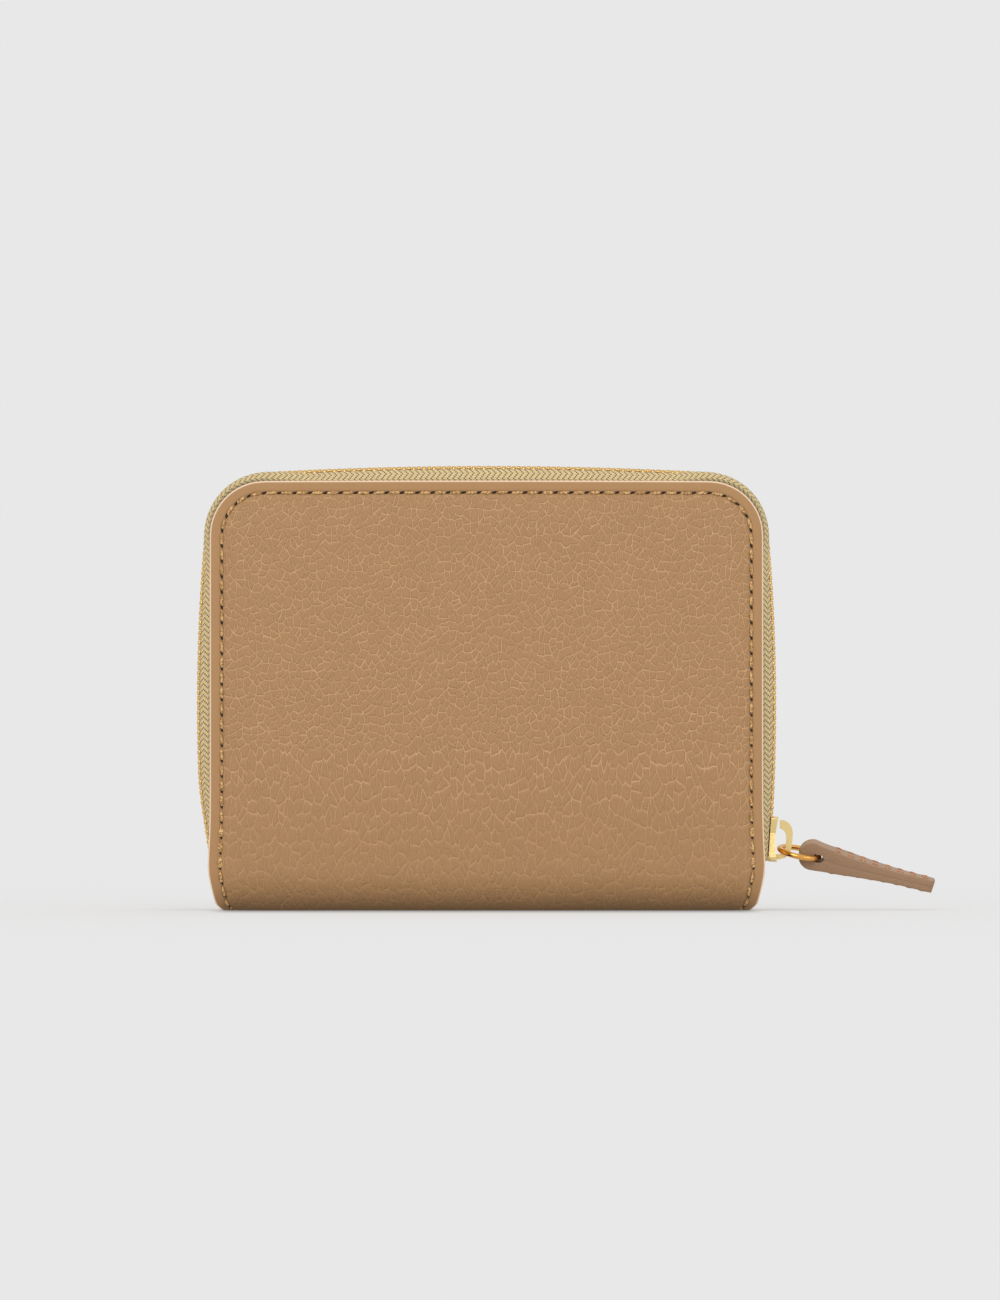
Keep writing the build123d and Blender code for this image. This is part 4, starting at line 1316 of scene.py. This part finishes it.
def gusset_fan(name, side, x_sign, low, high):
    """A pleated strip between the coin pocket and a cover's lining, within the old node's box."""
    sign = -1 if side == "front" else 1
    near, far = sorted((abs(low[1]), abs(high[1])))
    outer, inner = max(abs(low[0]), abs(high[0])), min(abs(low[0]), abs(high[0]))
    folds = GUSSET_FOLDS * 2
    steps = np.linspace(0, 1, folds * 4 + 1)
    wave = 0.5 - 0.5 * np.cos(steps * folds * math.pi)
    y = near + GUSSET_GAP + (far - near - 2 * GUSSET_GAP) * steps
    z = np.linspace(low[2], high[2], 24)
    y, z = np.meshgrid(y, z)
    depth = (outer - inner - GUSSET_THICKNESS) * wave[None] * (0.92 + 0.08 * np.sin(z * 0.21))
    x = outer - GUSSET_THICKNESS / 2 - depth
    middle = np.stack([x, y, z], -1)
    normal = np.cross(np.gradient(middle, axis=1), np.gradient(middle, axis=0))
    normal /= np.linalg.norm(normal, axis=-1, keepdims=True)
    points = both_faces(middle, GUSSET_THICKNESS / 2 * normal) * np.array([x_sign, sign, 1])
    faces = shell_faces(*x.shape)
    if x_sign * sign < 0:
        faces = turned_round(faces)
    uv = np.stack([z, np.broadcast_to(steps[None] * 24, z.shape)], -1).reshape(-1, 2)
    return make_piece(name, points, faces, LINING_CLOTH, uv=np.tile(uv, (2, 1)))


for side, sign in (("front", -1), ("back", 1)):
    for place, x_sign in (("right", 1), ("left", -1)):
        low, high = box_mm(f"{side}_{place}_gusset")
        fan = gusset_fan(f"{side}_{place}_fan", side, x_sign, low, high)
        near, far = sorted((abs(low[1]), abs(high[1])))
        start = (0.0, sign * near * MM, GUSSET_MIDDLE * MM)
        end = (0.0, sign * far * MM, GUSSET_MIDDLE * MM)
        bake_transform(fan)
        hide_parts(f"{side}_{place}_gusset")
        flat = (GUSSET_CLOTH * MM, (high[2] - low[2]) * MM)

# %% [markdown]
# # Light and camera
# The wallet stands on a wide pale floor that runs into a background of the same grey, so the light on
# the floor has to match it. Half of the floor's grey is its own colour, lit by the plain surroundings,
# and the rest is a little light of its own, so that the wallet's shade stays soft. A dark patch under
# the wallet and a little in front of it stands for the contact shade that the lamps would leave there.

# %% Lay the floor
BACKGROUND = 0.807
FLOOR_COLOUR = 0.5
FLOOR_GLOW = 0.403
PATCH_REACH = 26.0
PATCH_DARKNESS = 0.48
FLOOR_RADIUS = 30000.0
world = bpy.data.worlds.new("surroundings")
world.use_nodes = True
world.node_tree.nodes["Background"].inputs["Color"].default_value = (BACKGROUND, BACKGROUND, BACKGROUND, 1)
bpy.context.scene.world = world

paper = Finish("floor_paper", Roughness=0.9, Specular_IOR_Level=0.0, Emission_Strength=1.0)
place = paper.stretch((1.0, 1.0, 1.0))
beside, before = (paper.node("ShaderNodeSeparateXYZ", {}, {0: place}, axis) for axis in ("X", "Y"))
beside = beside.math("ABSOLUTE", beside)
in_front = paper.step(before, -HALF_DEPTH - PATCH_REACH, -HALF_DEPTH + 4.0)
in_front = in_front * (1 - paper.step(before, 0.0, HALF_DEPTH))
patch = in_front * (1 - paper.step(beside, HALF_WIDTH - 5.0, HALF_WIDTH + 1.0))
light_left = 1 - patch * PATCH_DARKNESS
paper.set(Base_Color=paper.shade((FLOOR_COLOUR,) * 3, light_left))
paper.set(Emission_Color=paper.shade((FLOOR_GLOW,) * 3, light_left))
turn = np.linspace(0, 2 * math.pi, 96, endpoint=False)
disc = np.stack([np.cos(turn) * FLOOR_RADIUS, np.sin(turn) * FLOOR_RADIUS, 0 * turn], -1)
floor = make_piece("floor", disc, [list(range(len(turn)))], paper.material)

# %% [markdown]
# Three large soft lamps model the wallet: a key from the upper left that catches the grain, a weak fill
# from the right and a little light from behind for the tape and the teeth. A light's receiver
# collection says what it lights. This one names the floor as excluded, so the lamps light all but that.

# %% Hang the lamps
lamp_targets = bpy.data.collections.new("lamp_targets")
lamp_targets.objects.link(floor)
lamp_targets.collection_objects[0].light_linking.link_state = "EXCLUDE"


def lamp(name, place, aim, size, power, tint):
    """A soft rectangular lamp, with its place and size in metres."""
    light = bpy.data.lights.new(name, "AREA")
    light.shape = "RECTANGLE"
    light.size, light.size_y = size
    light.energy = power
    light.color = tint
    holder = bpy.data.objects.new(name, light)
    holder.location = place
    direction = Vector(aim) - Vector(place)
    holder.rotation_euler = direction.to_track_quat("-Z", "Y").to_euler()
    holder.light_linking.receiver_collection = lamp_targets
    bpy.context.scene.collection.objects.link(holder)


middle = (0.0, 0.0, TOP / 2 * MM)
lamp("key", (-0.3, -0.95, 0.62), middle, (0.7, 0.5), 4.2, (1.0, 0.97, 0.93))
lamp("fill", (0.75, -0.6, 0.25), middle, (0.5, 0.6), 1.0, (1.0, 0.98, 0.96))
lamp("back", (0.1, 0.6, 0.7), middle, (0.8, 0.4), 0.3, (1.0, 1.0, 1.0))
print("lamps hung")

# %% [markdown]
# The camera looks straight at the front from two and a half metres, level with the middle of its view.
# The long side of the picture shows 260 mm. From so far away the front looks flat, as a maker's drawing
# does, and the near and far edges of the wallet keep nearly the same size.

# %% Set the camera
VIEW_HEIGHT = 260.0
DISTANCE = 2500.0
AIM_X, AIM_Z = 2.7, 52.2
camera = bpy.data.cameras.new("camera")
camera.sensor_width = 36.0
camera.lens = 36.0 * (DISTANCE - HALF_DEPTH) / VIEW_HEIGHT
camera.clip_start = 0.05
camera.clip_end = 100.0
eye = bpy.data.objects.new("camera", camera)
eye.location = (AIM_X * MM, -DISTANCE * MM, AIM_Z * MM)
eye.rotation_euler = (math.pi / 2, 0, 0)
bpy.context.scene.collection.objects.link(eye)
bpy.context.scene.camera = eye
bpy.context.scene.view_settings.view_transform = "Standard"
print(f"lens {camera.lens:.0f} mm")
